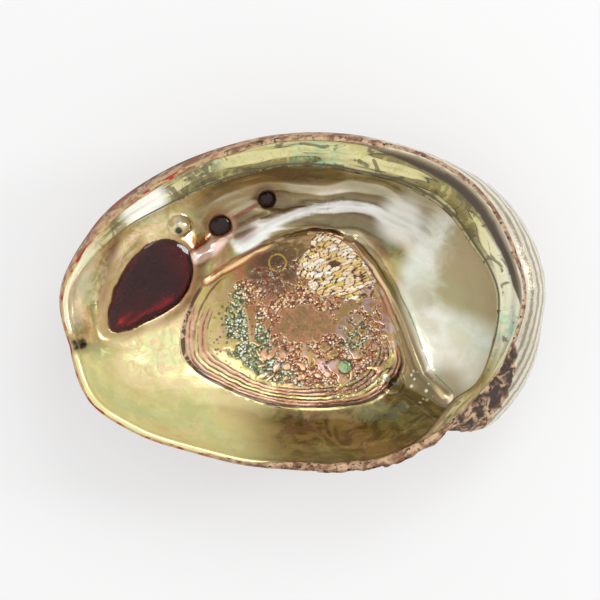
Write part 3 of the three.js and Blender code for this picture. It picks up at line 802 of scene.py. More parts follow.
push_back = push_back - 1.1 * bell(suture / 2.0) + 0.5 * bell((suture - 4.5) / 3)
resting = smooth(0.2, 2.5, Z)
push = push + on_back_soft * resting * push_back * (spire_mm < 98)
print("growth ridges on the back:", round(float(growth_phase.max())))

# %% [markdown]
# ## Onto the frame's shell
#
# All relief is applied at once, the notch of the newest hole is pressed in, and nothing may sink below the
# ground. The whole grid is then scaled and moved to the box of the shell in the frame, so that both models
# share one place.

# %% Move every vertex
moved = shape + N * push[..., None]
notch_mm = distance_to_line(X, Y, NOTCH)
moved[..., 2] -= pool_bed + NOTCH_DEPTH * bell(notch_mm / 2.6) * (Z > 30)
moved[..., 2] = np.maximum(moved[..., 2], 0)
low, high = shape.reshape(-1, 3).min(0), shape.reshape(-1, 3).max(0)
box_low, box_high = (np.array(c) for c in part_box("shell"))
k = (box_high[0] - box_low[0]) / (high[0] - low[0])
origin = (box_low + box_high - k * (low + high)) / 2
origin[2] = box_low[2]
print("scale", k * 1000, "origin, mm", (origin * 1000).round(2))


def placed(points):
    return np.asarray(points) * k + origin


under_pole = (*RESTING_SPOT, 0.0)
floor_pole = moved[:, -1].mean(0)
grid = placed(moved)
ends = {-1: placed(under_pole), RINGS: placed(floor_pole)}
for v, i, r in zip(drum.verts, column, ring):
    v.co = ends[r] if r in ends else grid[i, r]
bmesh.ops.recalc_face_normals(drum, faces=drum.faces)
print("volume, cm3:", round(drum.calc_volume(signed=True) * 1e6, 1))

# %% [markdown]
# ## Store the distances on the vertices
#
# A material can't see the formulas, but it can read a number stored on each vertex, and numbers that change
# smoothly stay sharp where the material cuts them. Each name below is one such map.

# %% A mesh object with its maps
maps = {
    "inner": on_top, "scar": scar, "terrace": terrace_phase, "terraced": terraces, "crust": crust,
    "flakes": in_flakes, "flake_gap": flake_gap, "flake_own": flake_own, "ridge": ridge, "gold": gold, "row": row,
    "pool": pool, "hollow": hollow, "past_ridge": past_ridge, "smooth_patch": smooth_patch,
    "rim_crust": rim_crust, "across_shelf": across_shelf, "on_shelf": on_shelf, "shelf_lines": shelf_lines,
    "from_crest": from_crest, "under_shelf": under_shelf, "growth": growth_phase, "worn": worn, "lumps": lumps,
    "suture": suture, "streaks": streaks, "silver": silver_mm, "notch": notch_mm + TO_FLOOR * (Z < 30),
    "corner": corner * np.ones_like(X), "saddle": saddle,
}


def mesh_object(name, bm):
    mesh = bpy.data.meshes.new(name)
    bm.to_mesh(mesh)
    bm.free()
    for face in mesh.polygons:
        face.use_smooth = True
    obj = bpy.data.objects.new(name, mesh)
    bpy.context.scene.collection.objects.link(obj)
    return obj


shell = mesh_object("abalone_shell", drum)
safe_ring = np.clip(ring, 0, RINGS - 1)
for name, values in maps.items():
    layer = shell.data.attributes.new(name, "FLOAT", "POINT")
    layer.data.foreach_set("value", values[column, safe_ring].astype(np.float32))
shell.data.update()
print("shell triangles:", sum(len(f.vertices) - 2 for f in shell.data.polygons))

# %% [markdown]
# ## The resin
#
# Clear resin is a solid whose colour comes from depth: thin edges glow red and the thick middle goes nearly
# black. Each piece is a closed form that dips a little into the shell, because a thin layer of air between
# two surfaces would show as a grey film. The pool is a spun lens whose rim is pulled out to the shoreline.

# %% The pool
POOL_OVERLAP = 1.03
shares = np.linspace(0, 1, 26)
top = [(s * POOL_OVERLAP, 1.0) for s in shares]
bottom = [(s * POOL_OVERLAP, -1.0) for s in shares[-2:0:-1]] + [(0, -1)]
lens = spun_form(top + bottom, 128)
for v in lens.verts:
    share, angle, side = math.hypot(v.co.x, v.co.y), math.atan2(v.co.y, v.co.x), v.co.z
    r = share * float(pool_radius(angle))
    x, y = POOL_CENTRE[0] + r * math.cos(angle), POOL_CENTRE[1] + r * math.sin(angle)
    bulge = POOL_DOME * (1 - min(share, 1) ** 6) - 0.25 * max(share - 0.97, 0) / 0.06
    bed = -POOL_DEPTH * max(1 - share**2, 0) ** BED_ROUNDNESS - 0.5
    v.co = placed((x, y, float(pool_plane(x, y)) + (bulge if side > 0 else bed)))
bmesh.ops.recalc_face_normals(lens, faces=lens.faces)
pool_piece = mesh_object("resin_pool_clear", lens)
print("pool:", len(pool_piece.data.polygons), "faces")

# %% [markdown]
# ## The plugs
#
# In the next two holes the resin stands as a round button on a stem. Each is turned on a lathe, so to say:
# a section spun round, smoothed by one cut with a round profile, and tipped until it stands square on the
# wall.

# %% The plugs
def plug(name, hole, head, rise):
    stem = [(0, -6.9), (1.6, -6.8), (2.7, -6.5), (3.0, -6), (3.0, -2.4), (head * 0.9, -1.7), (head, -0.5)]
    button = [(0.93, 0.35), (0.75, 0.72), (0.5, 0.92), (0.25, 1), (0, 1)]
    profile = stem + [(head * r, rise * z) for r, z in button]
    bm = spun_form(profile, 48)
    bmesh.ops.subdivide_edges(bm, edges=bm.edges, cuts=1, smooth=0.6, use_grid_fill=True)
    point, normal = point_over(inside, *hole)
    turn = normal.to_track_quat("Z", "Y").to_matrix().to_4x4()
    bm.transform(Matrix.Diagonal((k, k, k, 1)) @ Matrix.Translation(point + Vector(origin / k)) @ turn)
    bmesh.ops.recalc_face_normals(bm, faces=bm.faces)
    return mesh_object(name, bm)


large_plug = plug("resin_plug_large_clear", LARGE_HOLE, 4.5, 1.7)
small_plug = plug("resin_plug_small_clear", SMALL_HOLE, 3.3, 1.3)
print("plugs:", large_plug.name, small_plug.name)

# %% [markdown]
# ## Specks in the pool
#
# Poured resin keeps a few bubbles and pale crumbs near its top. They are tiny balls at seeded random
# places, most of them small, and they give the eye something to judge the depth by.

# %% Specks sealed in the pool
SPECKS, VERTICES_EACH = 46, 12
generator = np.random.default_rng(7)
specks = bmesh.new()
while len(specks.verts) < SPECKS * VERTICES_EACH:
    share, angle, level = math.sqrt(generator.random()) * 0.9, generator.random() * TURN, generator.random()
    r = share * float(pool_radius(angle))
    x, y = POOL_CENTRE[0] + r * math.cos(angle), POOL_CENTRE[1] + r * math.sin(angle)
    z = float(pool_plane(x, y)) + mix(-0.4, POOL_DOME * (1 - share**6) - 0.3, level**0.5)
    size = 0.1 + 0.16 * generator.random() ** 3
    at = Matrix.Translation(placed((x, y, z))) @ Matrix.Diagonal((size * k, size * k, size * k, 1))
    bmesh.ops.create_icosphere(specks, subdivisions=1, radius=1, matrix=at)
specks_piece = mesh_object("resin_specks", specks)
print("specks:", SPECKS)

# %% [markdown]
# ## A small language for materials
#
# A material is a graph of nodes. Long sums of Math nodes are hard to read, so one small class wraps a
# socket and lets Python's own signs build them.

# %% Sockets that add and multiply
def node(tree, kind, settings=None, inputs=(), output=0):
    n = tree.nodes.new(kind)
    for key, value in (settings or {}).items():
        setattr(n, key, value)
    pairs = inputs.items() if isinstance(inputs, dict) else enumerate(inputs)
    for key, value in pairs:
        if isinstance(value, Value):
            tree.links.new(value.socket, n.inputs[key])
        else:
            n.inputs[key].default_value = value
    return Value(n.outputs[output], tree)


def sign(operation, swapped=False):
    def act(self, other):
        pair = [other, self] if swapped else [self, other]
        return node(self.tree, "ShaderNodeMath", {"operation": operation}, pair)
    return act


class Value:
    def __init__(self, socket, tree):
        self.socket, self.tree = socket, tree

    __add__ = __radd__ = sign("ADD")
    __mul__ = __rmul__ = sign("MULTIPLY")
    __sub__, __rsub__ = sign("SUBTRACT"), sign("SUBTRACT", swapped=True)

    def maths(self, operation, *others, clamp=False):
        return node(self.tree, "ShaderNodeMath", {"operation": operation, "use_clamp": clamp}, [self, *others])

    def step(self, low, high, start, end):
        return node(self.tree, "ShaderNodeMapRange", {"interpolation_type": "SMOOTHSTEP"},
                    [self, low, high, start, end])

    def above(self, low, high):
        return self.step(low, high, 0.0, 1.0)

    def below(self, low, high):
        return self.step(low, high, 1.0, 0.0)

    def near(self, centre, width):
        return (self - centre).maths("ABSOLUTE").below(0.0, width)

    def clamped(self):
        return self.maths("MULTIPLY", 1.0, clamp=True)


print("signs that a Value knows:", [name for name in vars(Value) if name.startswith("__")][:8])

# %% [markdown]
# ## Colours, clouds and grains
#
# Every material below is mixed from the same few things: a flat colour, a blend of two by a share, a stored
# map, a cloud of noise and a field of grains. They take Object coordinates in millimetres, so a size is a
# size on the shell.

# %% Colours, clouds and grains
def colour(red, green, blue):
    """A colour as it looks on a screen, 0 to 255, made linear."""
    parts = (c / 255 for c in (red, green, blue))
    return tuple(c / 12.92 if c <= 0.04 else ((c + 0.055) / 1.055) ** 2.4 for c in parts)


def blend(share, a, b):
    a, b = (c if isinstance(c, Value) else (*c, 1) for c in (a, b))
    settings = {"data_type": "RGBA", "blend_type": "MIX", "clamp_factor": True}
    return node(share.tree, "ShaderNodeMix", settings, {0: share, 6: a, 7: b}, output=2)


def stored(tree, name):
    return node(tree, "ShaderNodeAttribute", {"attribute_type": "GEOMETRY", "attribute_name": name}, output=2)


def millimetres(tree):
    place = node(tree, "ShaderNodeTexCoord", output=3)
    return node(tree, "ShaderNodeVectorMath", {"operation": "MULTIPLY"}, [place, (1000, 1000, 1000)])


def cloud(at, size, detail=3.0, twist=0.0):
    sockets = {"Vector": at, "Scale": 1 / size, "Detail": detail, "Roughness": 0.55, "Distortion": twist}
    return node(at.tree, "ShaderNodeTexNoise", {"noise_dimensions": "3D"}, sockets)


def grain(at, size, feature="F1", output=0):
    sockets = {"Vector": at, "Scale": 1 / size}
    return node(at.tree, "ShaderNodeTexVoronoi", {"feature": feature}, sockets, output)


def three_parts(vector, kind="ShaderNodeSeparateXYZ"):
    first = node(vector.tree, kind, {}, [vector])
    return [Value(socket, vector.tree) for socket in first.socket.node.outputs]


def new_material(name):
    material = bpy.data.materials.new(name)
    material.use_nodes = True
    tree = material.node_tree
    tree.nodes.clear()
    shader = tree.nodes.new("ShaderNodeBsdfPrincipled")
    out = tree.nodes.new("ShaderNodeOutputMaterial")
    tree.links.new(shader.outputs[0], out.inputs["Surface"])
    return material, tree, shader, out


print("a warm white, made linear:", [round(c, 3) for c in colour(255, 238, 206)])

# %% [markdown]
# ## The shell's material
#
# Mother-of-pearl is stacked glassy layers. Light that bounces between them comes back tinted pink, green or
# gold, by the slope and the thickness. One shader covers the shell: partly metallic, for the bright soft
# mirror inside, under a thin clear coat, and plain rough lime outside. The colour is built up in washes,
# from the widest to the finest.

# %% Helpers for this shell
nacre, tree, shader, out = new_material("nacre_and_crust")
mm = millimetres(tree)
get = SimpleNamespace(**{name: stored(tree, name) for name in maps})
wide, middle, fine = cloud(mm, 26, 3, 0.6), cloud(mm, 9, 4, 1.2), cloud(mm, 2.2, 4, 0.8)
flow = cloud(mm, 6, 3, 2.4)
facing_x, facing_y, _ = three_parts(node(tree, "ShaderNodeNewGeometry", output=1))
at_x, at_y, _ = three_parts(mm)


def spot(x, y, inner, outer):
    """1 within the inner distance of a point in plan and 0 beyond the outer one."""
    dx, dy = at_x - x, at_y - y
    return (dx * dx + dy * dy + 6 * (middle - 0.5)).maths("SQRT").below(inner, outer)


def wash(under, share, red, green, blue):
    return blend(share, under, colour(red, green, blue))


def washed(under, washes):
    for share, *tone in washes:
        under = wash(under, share, *tone)
    return under


def either(share, first, second):
    return blend(share, colour(*first), colour(*second))


print("maps read:", len(maps), "nodes so far:", len(tree.nodes))

# %% [markdown]
# ## Mother-of-pearl
#
# The walls run from olive to pale gold. Along the bottom they are darker: olive nacre with a painted dark
# reflection of the low surroundings. At the growing edge they are brightest, partly from a painted highlight down
# the left wall near the lip. Each wash has a share that says where it lies, cut from the maps and the clouds, and
# a tone. A painted image would need a layout of the surface, and it would blur close up.

# %% Washes of the mother-of-pearl
pearl = either(wide.above(0.38, 0.62), (196, 172, 100), (158, 128, 64))
pearl = wash(pearl, middle.above(0.48, 0.7) * 0.5, 220, 206, 144)
# Darker along the bottom: olive nacre with a painted dark reflection.
bottom_wall = (at_y * -1.0 + 0.12 * at_x).above(32, 44) * at_x.above(-56, -8)
pearl = blend(bottom_wall, pearl, either(middle.above(0.4, 0.62), (104, 80, 28), (150, 128, 62)))
lower_left = (at_x + 0.4 * at_y).below(-52, -22) * (at_y * -1.0 + 0.3 * at_x).above(-16, -2)
pearl = blend(lower_left * 0.95, pearl, either(middle.above(0.4, 0.6), (246, 238, 172), (236, 228, 156)))
# The pale left wall is partly a painted highlight running down the wall.
left_wall = (at_x - 0.6 * at_y).below(-78, -58) * (at_y * -1.0).below(8, 18)
streaky = (flow + 0.4 * middle).above(0.55, 0.85)
pearl = blend(left_wall * 0.9, pearl, either(streaky, (250, 236, 186), (214, 184, 110)))
slanted = at_x - 0.25 * at_y
pearl = washed(pearl, [
    ((slanted + 4 * (flow - 0.5)).near(-77, 4.5) * at_y.above(-8, 0) * 0.9, 132, 108, 54),
    # The near-white band by the lip is a painted highlight.
    (slanted.below(-84, -80) * at_y.above(-14, -6) * 0.8, 255, 248, 214),
])
print("walls washed:", len(tree.nodes), "nodes")

# %% [markdown]
# ## Silver and shade
#
# Under the shelf the nacre is darkened with painted shade from the overhang, and it lies in long grey streaks
# whose pale bands are partly painted sheen. The bright arc below them is a painted highlight, and so is the
# near-white spot at the top of the hollow. The hollow under the spire is painted nearly white: its own silvery
# nacre with a painted reflection of the bright sky above. The streaks of the relief are read again, so the tone
# follows the surface.

# %% Under the shelf and in the hollow
# Painted shade under the overhanging shelf; the pale streak bands are partly painted sheen.
pearl = washed(pearl, [
    (get.under_shelf * (0.45 + 0.6 * flow), 134, 108, 62),
    (get.under_shelf * get.streaks.above(0.0, 0.3) * 0.75, 214, 202, 166),
    (get.under_shelf * get.streaks.below(-0.35, -0.1) * 0.6, 98, 84, 54),
])
# The bright arc under the shelf is a painted highlight.
painted_highlight_arc = (get.silver - 5 * get.streaks + 2 * flow).below(2.0, 5.5) * get.silver.below(5, 8)
pearl = washed(pearl, [
    (painted_highlight_arc, 255, 253, 248),
    (spot(-24, 28, 2, 8) * 0.75, 112, 76, 36),
])
# A painted highlight near the top of the hollow.
painted_highlight_top = spot(37, 31, 4, 12)
pearl = wash(pearl, painted_highlight_top * 0.9, 253, 251, 240)
# The hollow is painted nearly white: its own silvery nacre with a painted reflection of the sky.
in_hollow = get.hollow.below(0.8, 1.15) * get.past_ridge.above(0.1, 0.6)
silver = either((wide + 0.5 * middle).above(0.6, 0.95), (255, 255, 244), (232, 232, 204))
olive_side = (slanted + 12 * (middle - 0.5)).above(43, 54) * (at_y + 0.4 * at_x).above(14, 24)
silver = washed(silver, [
    (olive_side, 184, 166, 112),
    (spot(53, -33, 4, 13) * 0.8, 146, 128, 78),
])
pearl = blend(in_hollow, pearl, silver)
hair = (get.scar * 60 + 2 * middle).maths("FRACT").near(0.5, 0.2)
hair = hair * get.scar.above(1.02, 1.06) * get.scar.below(1.25, 1.4)
pearl = wash(pearl, hair * spot(20, 24, 9, 17) * 0.7, 92, 76, 52)
print("washes laid:", len(tree.nodes), "nodes")

# %% [markdown]
# ## Iridescence
#
# On the real shell the tint swings from pink to green as the surface tilts. The way a surface faces is the
# same for every onlooker, so it can drive the tint without tying the colour to the camera: a sine of the
# slope plus a little noise gives soft bands that follow each dent.

# %% Pink and green bands
swing = (facing_x * 8 + facing_y * 11 + wide * 8 + flow * 5).maths("SINE")
tint = 0.2 - 0.15 * get.under_shelf - 0.1 * get.hollow.below(0.9, 1.2) - 0.1 * bottom_wall
tinted = blend(swing.above(0.2, 1.0) * tint, pearl, colour(240, 168, 156))
tinted = blend((swing * -1.0).above(0.2, 1.0) * tint, tinted, colour(140, 206, 160))
print("with its bands of tint:", len(tree.nodes), "nodes")

# %% [markdown]
# ## The scar's floor
#
# The muscle's attachment is duller than the nacre round it, copper and rosy on one side and yellow-green on
# the other, with a smooth patch at its middle.

# %% The scar's floor
scar_base = either(cloud(mm, 14, 3, 1.5).above(0.4, 0.6), (186, 128, 90), (176, 142, 84))
scar_base = blend(get.smooth_patch, scar_base, either(flow.above(0.4, 0.6), (200, 146, 104), (170, 138, 88)))
faint = cloud(mm, 2.6, 4, 1.5)
scar_base = wash(scar_base, get.smooth_patch * faint.near(0.5, 0.07) * 0.4, 116, 76, 48)
lilac = cloud(mm, 5, 2, 1.0).above(0.5, 0.62) * (at_x - at_y).above(-2, 12) * (1 - get.smooth_patch)
scar_base = washed(scar_base, [
    (lilac * 0.65, 196, 168, 170),
    (spot(-8, 19, 6, 14) * flow.above(0.4, 0.55) * 0.8, 112, 82, 44),
    (spot(-13, 12, 5, 12) * 0.75, 96, 68, 36),
])
rosy = cloud(mm, 8, 3, 1.0).above(0.44, 0.6) * spot(-24, 8, 8, 16)
scar_base = wash(scar_base, rosy, 190, 104, 66)
left_floor = (at_x + 0.35 * at_y).below(-30, -18)
scar_base = blend(left_floor * 0.85, scar_base, either(flow.above(0.42, 0.6), (204, 176, 128), (186, 172, 84)))
in_scar = get.scar.below(0.985, 1.0)
print("with the scar's floor:", len(tree.nodes), "nodes")

# %% [markdown]
# ## Beads
#
# Each grain of the crust is a tiny glassy bead. Some beads get a painted glint, and every bead's foot is darkened
# with painted shade. Grains in the shader are finer than the mesh can hold, and they lie on the net that the mesh
# does hold.

# %% Beads of the crust
bead = grain(mm, 0.85)
bead_colour, glint_pick, _ = three_parts(grain(mm, 0.85, output=1), "ShaderNodeSeparateColor")
copper = either(bead_colour.above(0.3, 0.75), (162, 86, 42), (228, 166, 98))
# Painted glints on some beads and painted shade at every bead's foot.
copper = washed(copper, [
    (glint_pick.above(0.62, 0.7), 255, 232, 196),
    (bead.above(0.5, 0.72), 84, 42, 18),
])
leafy = either(bead_colour.above(0.3, 0.7), (106, 108, 56), (170, 190, 132))
# Painted glints on some beads and painted shade at every bead's foot.
leafy = washed(leafy, [
    (glint_pick.above(0.6, 0.68), 236, 240, 216),
    (bead.above(0.5, 0.7), 66, 62, 32),
])
green_side = (at_x * -0.8 - 0.5 * at_y + 12 * (middle - 0.5)).above(14, 20)
greenish = (green_side + spot(19, -13, 4, 8) * flow.above(0.4, 0.5)).clamped()
scar_base = blend(get.crust.above(0.15, 0.5), scar_base, blend(greenish, copper, leafy))
scar_base = wash(scar_base, spot(-12, 12, 5, 13) * 0.5, 84, 60, 34)
dust = (grain(mm, 1.9) + 0.4 * fine).below(0.42, 0.5) * get.scar.below(0.72, 0.84)
dust = dust * (1 - 0.5 * get.smooth_patch)
dusty = either(greenish, (150, 92, 54), (92, 100, 58))
scar_base = blend(dust * (1 - get.crust) * 0.8, scar_base, dusty)
print("with the beads:", len(tree.nodes), "nodes")

# %% [markdown]
# ## Flakes
#
# The flakes are bright pieces of nacre, with painted shade in the brown gaps between them. The mesh already knows
# each flake's own number, and a few bands of that number give each one a tone.

# %% Flakes of the crust
flake = either(get.flake_own, (255, 238, 206), (232, 190, 122))
flake = washed(flake, [
    (get.flake_own.near(0.72, 0.12), 224, 200, 84),
    (get.flake_own.near(0.25, 0.14), 255, 252, 246),
    # Painted shade in the gaps between the flakes.
    ((get.flake_gap + 0.9 * (fine - 0.5)).below(0.2, 0.6), 96, 56, 22),
])
scar_base = blend(get.flakes.above(0.3, 0.6), scar_base, flake)
tinted = blend(in_scar, tinted, scar_base)
print("with the scar:", len(tree.nodes), "nodes")

# %% [markdown]
# ## Terraces in colour
#
# Each terrace has a fine brown line at its foot and a wider band of olive or rose above it. The share of
# the way across one terrace is what is left after the whole number is dropped.

# %% Lines of the terraces
phase = get.terrace.maths("FRACT")
terraced = get.terraced.above(0.15, 0.4)
striped = (get.terrace * 2.1 + 2 * middle).maths("SINE").above(-0.3, 0.5)
tinted = blend(terraced * 0.8, tinted, either(striped, (196, 140, 100), (200, 184, 108)))
line = phase.near(0.82, 0.30).above(0.12, 0.5) * terraced * cloud(mm, 10, 2, 0.5).above(0.3, 0.48)
tinted = wash(tinted, line * (0.8 + 0.7 * (fine - 0.3)).clamped(), 58, 36, 10)
border = (get.scar + 0.02 * (middle - 0.5)).near(1.0, 0.03).above(0.1, 0.6)
border = border * get.ridge.above(3, 8) * get.gold.above(1, 4)
tinted = wash(tinted, border, 74, 44, 20)
inner_line = (get.scar + 0.06 * (middle - 0.5)).near(0.9, 0.02)
inner_line = inner_line * at_x.below(-34, -28) * (at_y * -1.0).below(10, 18)
tinted = wash(tinted, inner_line, 110, 56, 40)
print("with the terraces:", len(tree.nodes), "nodes")

# %% [markdown]
# ## The two ridges
#
# The ridge by the hollow is pale along its top, a painted highlight, and brown at its foot, painted shade. The
# short one by the resin is golden, and the pale band along its top is partly a painted highlight. Bands of the
# distance to each line make both.

# %% The two ridges
# The pale band along the golden ridge is partly a painted highlight.
tinted = washed(tinted, [
    (get.gold.below(0.3, 1.0) * at_x.below(-20, 0), 252, 214, 150),
    (get.gold.near(1.5, 0.8) * at_x.below(-24, -10) * 0.9, 156, 66, 30),
    (get.gold.near(0.6, 0.5) * at_x.above(-16, -6) * 0.8, 96, 60, 30),
])
along_top = (get.scar + 0.015 * fine).near(1.0, 0.016) * at_x.above(-30, -20)
tinted = wash(tinted, along_top * get.ridge.above(6, 12) * 0.8, 96, 58, 26)
ridge_line = get.ridge + 0.9 * (middle - 0.5) + 0.6 * (fine - 0.5)
# A painted highlight along the ridge's top.
tinted = wash(tinted, ridge_line.below(0.9, 1.6) * at_x.above(22, 28), 226, 200, 148)
before_hollow = get.past_ridge.below(0.3, 0.8)
# Painted shade at the ridge's foot, before the hollow.
tinted = washed(tinted, [
    (ridge_line.near(1.7, 0.7) * at_x.above(20, 26) * before_hollow, 132, 62, 30),
    (ridge_line.near(3.6, 0.5) * at_x.above(20, 26) * 0.7, 104, 84, 44),
])
between_ridges = get.ridge.below(1.5, 6.0) * get.scar.above(1.0, 1.06)
between_ridges = between_ridges * get.past_ridge.below(0.4, 0.8) * at_x.above(24, 30)
tinted = wash(tinted, between_ridges * 0.7, 112, 92, 46)
plates = grain(mm, 9, "DISTANCE_TO_EDGE")
cracks = (plates + 0.05 * (fine - 0.5)).below(0.02, 0.05) * spot(-55, -13, 11, 19)
cracks = cracks * get.pool.above(1.05, 1.15)
tinted = washed(tinted, [
    (spot(-55, -13, 11, 20) * flow.above(0.45, 0.6) * 0.7, 226, 186, 152),
    (cracks * 0.15, 132, 92, 52),
])
print("with the ridges:", len(tree.nodes), "nodes")

# %% [markdown]
# ## Small marks
#
# A few round marks are left in the scar: a green disc, some thin rings, a pit darkened with painted shade and
# given a painted glint, and bubbles beside it. Each has a place and a size.

# %% Discs, rings and the pit in the scar
GREEN_DISC = (15.7, -24.8)
RING_MARKS = [
    (15.7, -24.8, 2.6, (74, 62, 30)), (-10, 15, 3.2, (196, 160, 70)), (27.3, -18.9, 3.4, (168, 110, 78)),
    (27.3, -8.9, 3.0, (150, 104, 74)), (33.2, -30.4, 5.0, (70, 56, 28)),
]


def ring_mark(x, y, radius, width=0.6):
    dx, dy = at_x - x, at_y - y
    return ((dx * dx + dy * dy).maths("SQRT") + 0.5 * (fine - 0.5)).near(radius, width).above(0.1, 0.7)


tinted = wash(tinted, spot(*GREEN_DISC, 2.2, 2.6), 150, 176, 122)
for mark_x, mark_y, radius, tone in RING_MARKS:
    tinted = wash(tinted, ring_mark(mark_x, mark_y, radius) * flow.above(0.36, 0.5), *tone)
# Painted shade in the pit and a painted glint beside it.
tinted = washed(tinted, [
    (spot(34, -30.4, 1.2, 2.2), 46, 34, 14),
    (spot(31.5, -29, 0.8, 2.0), 240, 236, 214),
])
bubbly = grain(mm, 2.6).below(0.2, 0.34) * spot(43, -33, 5, 9)
tinted = washed(tinted, [
    (spot(43, -33, 5, 9) * 0.7, 108, 92, 48),
    (bubbly, 226, 220, 186),
])
print("with the marks:", len(tree.nodes), "nodes")

# %% [markdown]
# ## Round the resin
#
# Beside the pool the nacre is reddish brown on its right, a painted glow of light through the red resin, and tan
# on its left, and brown rings lie round the plugs. A rosy saddle of nacre runs between the pool and the plug, its
# pale tone partly a painted highlight. The pearl is pale, with painted shade on its lower side and a painted
# highlight at its top.

# %% Round the resin
# The reddish brown right of the pool is a painted glow of light through the resin.
beside = get.pool.below(1.04, 1.45) * get.pool.above(0.9, 1.0)
tinted = washed(tinted, [
    (beside * at_x.above(-56, -42) * 0.6, 142, 76, 40),
    (beside * at_x.below(-62, -58) * 0.7, 156, 124, 66),
])
thread = (get.row + 1.6 * (flow - 0.5)).below(0.5, 1.2) * get.pool.above(1.0, 1.06)
thread = thread * at_x.above(-44, -41) * at_x.below(-18, -14)
saddle_edge = (get.saddle + 0.8 * (flow - 0.5)).near(3.4, 0.8) * (at_y - 0.85 * at_x).above(50, 52)
tinted = washed(tinted, [
    # The saddle's pale tone is partly a painted highlight.
    (get.saddle.below(1.6, 3.4), 248, 216, 202),
    (saddle_edge, 120, 60, 30),
    (thread * 0.8, 134, 54, 24),
    (spot(-32.2, 29.4, 4.8, 7.5) * 0.7, 178, 128, 92),
    (spot(-14.3, 39.6, 3.4, 6) * 0.7, 120, 84, 58),
    (spot(-47.4, 29.2, 3.2, 4.4), 234, 218, 172),
    # Painted shade on the pearl's lower side and a painted highlight at its top.
    (spot(-47.4, 27.0, 0.4, 1.9), 30, 50, 32),
    (spot(-47.8, 30.9, 0.8, 2.0), 255, 252, 236),
])
print("with the stains:", len(tree.nodes), "nodes")

# %% [markdown]
# ## The shelf
#
# The shelf shows the edges of the nacre's layers, so it is striped with yellow, green and grey along the lip,
# with a dark line of painted shade along its inner edge and a brown strip at its outer one. A near-white spot at
# its upper left is a painted highlight.

# %% The shelf
shelf_tone = either(get.shelf_lines.above(-0.25, 0.3), (130, 116, 60), (214, 204, 146))
shelf_tone = wash(shelf_tone, get.shelf_lines.near(-0.1, 0.09), 66, 56, 24)
patch = cloud(mm, 11, 3, 2.0)
glint = cloud(mm, 3.5, 4, 1.5)
shelf_tone = washed(shelf_tone, [
    (patch.above(0.5, 0.6) * glint.above(0.42, 0.54) * 0.7, 188, 182, 108),
    (at_x.above(62, 78) * 0.6, 226, 224, 208),
])
sea = (spot(5, 56, 5, 14) + spot(76, -8, 3, 8) + spot(-35, 53, 2, 7)).clamped() * flow.above(0.44, 0.56)
shelf_tone = washed(shelf_tone, [
    (sea * (0.2 + 0.5 * glint), 120, 190, 150),
    (patch.below(0.38, 0.44) * 0.8, 92, 80, 40),
    (spot(-38, 47.5, 3, 10) * glint.above(0.38, 0.5) * 0.85, 98, 88, 46),
    # A painted highlight on the shelf's upper left.
    (spot(-60, 37, 6, 12) * 0.9, 252, 250, 240),
    # Painted shade along the shelf's inner edge.
    (get.across_shelf.near(0.93, 0.07), 70, 58, 28),
])
tinted = blend(get.on_shelf * get.across_shelf.above(0.08, 0.16), tinted, shelf_tone)
taupe_share = 0.14 + 0.30 * at_x.above(10, 45) - 0.36 * (at_y * -1.0).above(-8, 8)
taupe = (get.across_shelf - taupe_share + 0.08 * (middle - 0.5)).below(-0.03, 0.03)
taupe = get.on_shelf * taupe * at_x.above(-50, -20)
tinted = blend(taupe, tinted, either(get.shelf_lines.above(-0.4, 0.5), (62, 46, 28), (86, 66, 42)))
print("with the shelf:", len(tree.nodes), "nodes")

# %% [markdown]
# ## The rough edge
#
# The crust of the lip is tan lime with dark pits, sooty at the corner by the spire, and brick-red at the
# growing edge, where the newest layer of the back shows.

# %% The rough edge
lime = either(cloud(mm, 4, 5, 0.5).above(0.4, 0.62), (206, 170, 136), (132, 92, 66))
lime = wash(lime, cloud(mm, 1.6, 3).above(0.55, 0.64), 62, 46, 34)
soot = get.corner.above(0.2, 0.5) * get.from_crest.below(-0.5, 0.5)
soot = soot * (get.from_crest + 4 * middle).above(-10, -6) * cloud(mm, 4, 5, 1.0).above(0.35, 0.58)
lime = wash(lime, soot, 66, 54, 48)
red_rim = at_x.below(-44, -24)
lime = blend(red_rim, lime, either(cloud(mm, 5, 3).above(0.4, 0.55), (176, 58, 34), (214, 178, 120)))
print("with the rough edge:", len(tree.nodes), "nodes")

# %% [markdown]
# ## The colour of the back
#
# The red comes from the seaweed that the animal ate, and each change of food left a band. The worn spire
# shows its nacre in pale lines, and the lumps of lime are off-white.

# %% The back
brick = either(cloud(mm, 16, 4, 1.0).above(0.4, 0.62), (158, 84, 62), (118, 66, 50))
brick = washed(brick, [
    ((get.growth * 5 + 1.5 * middle).maths("SINE").above(0.0, 0.9) * 0.55, 104, 56, 44),
    ((get.growth * 2 + 0.8 * middle).maths("SINE").above(0.3, 0.9) * 0.6, 204, 156, 126),
    (cloud(mm, 8, 5, 0.8).above(0.52, 0.66), 172, 152, 120),
    (get.lumps.above(0.25, 0.6), 206, 194, 172),
])
band = (get.from_crest * 1.9 + 3.0 * middle + 1.5 * fine).maths("SINE")
bright = either(band.above(-0.5, 0.7), (220, 214, 194), (164, 152, 128))
bright = wash(bright, cloud(mm, 7, 4).above(0.55, 0.7) * 0.5, 196, 176, 140)
brick = blend(get.worn.above(0.25, 0.7), brick, bright)
outer = wash(brick, get.suture.below(0.8, 3.2) * 0.8, 96, 74, 60)
edge_tan = either(cloud(mm, 5, 4, 1.0).above(0.4, 0.6), (206, 178, 142), (138, 106, 80))
outer = blend((get.from_crest + 3 * middle).above(-6, -2) * (1 - get.worn) * 0.85, outer, edge_tan)
everything = blend(get.inner.above(0.3, 0.7), outer, tinted)
everything = blend(get.rim_crust.above(0.3, 0.55), everything, lime)
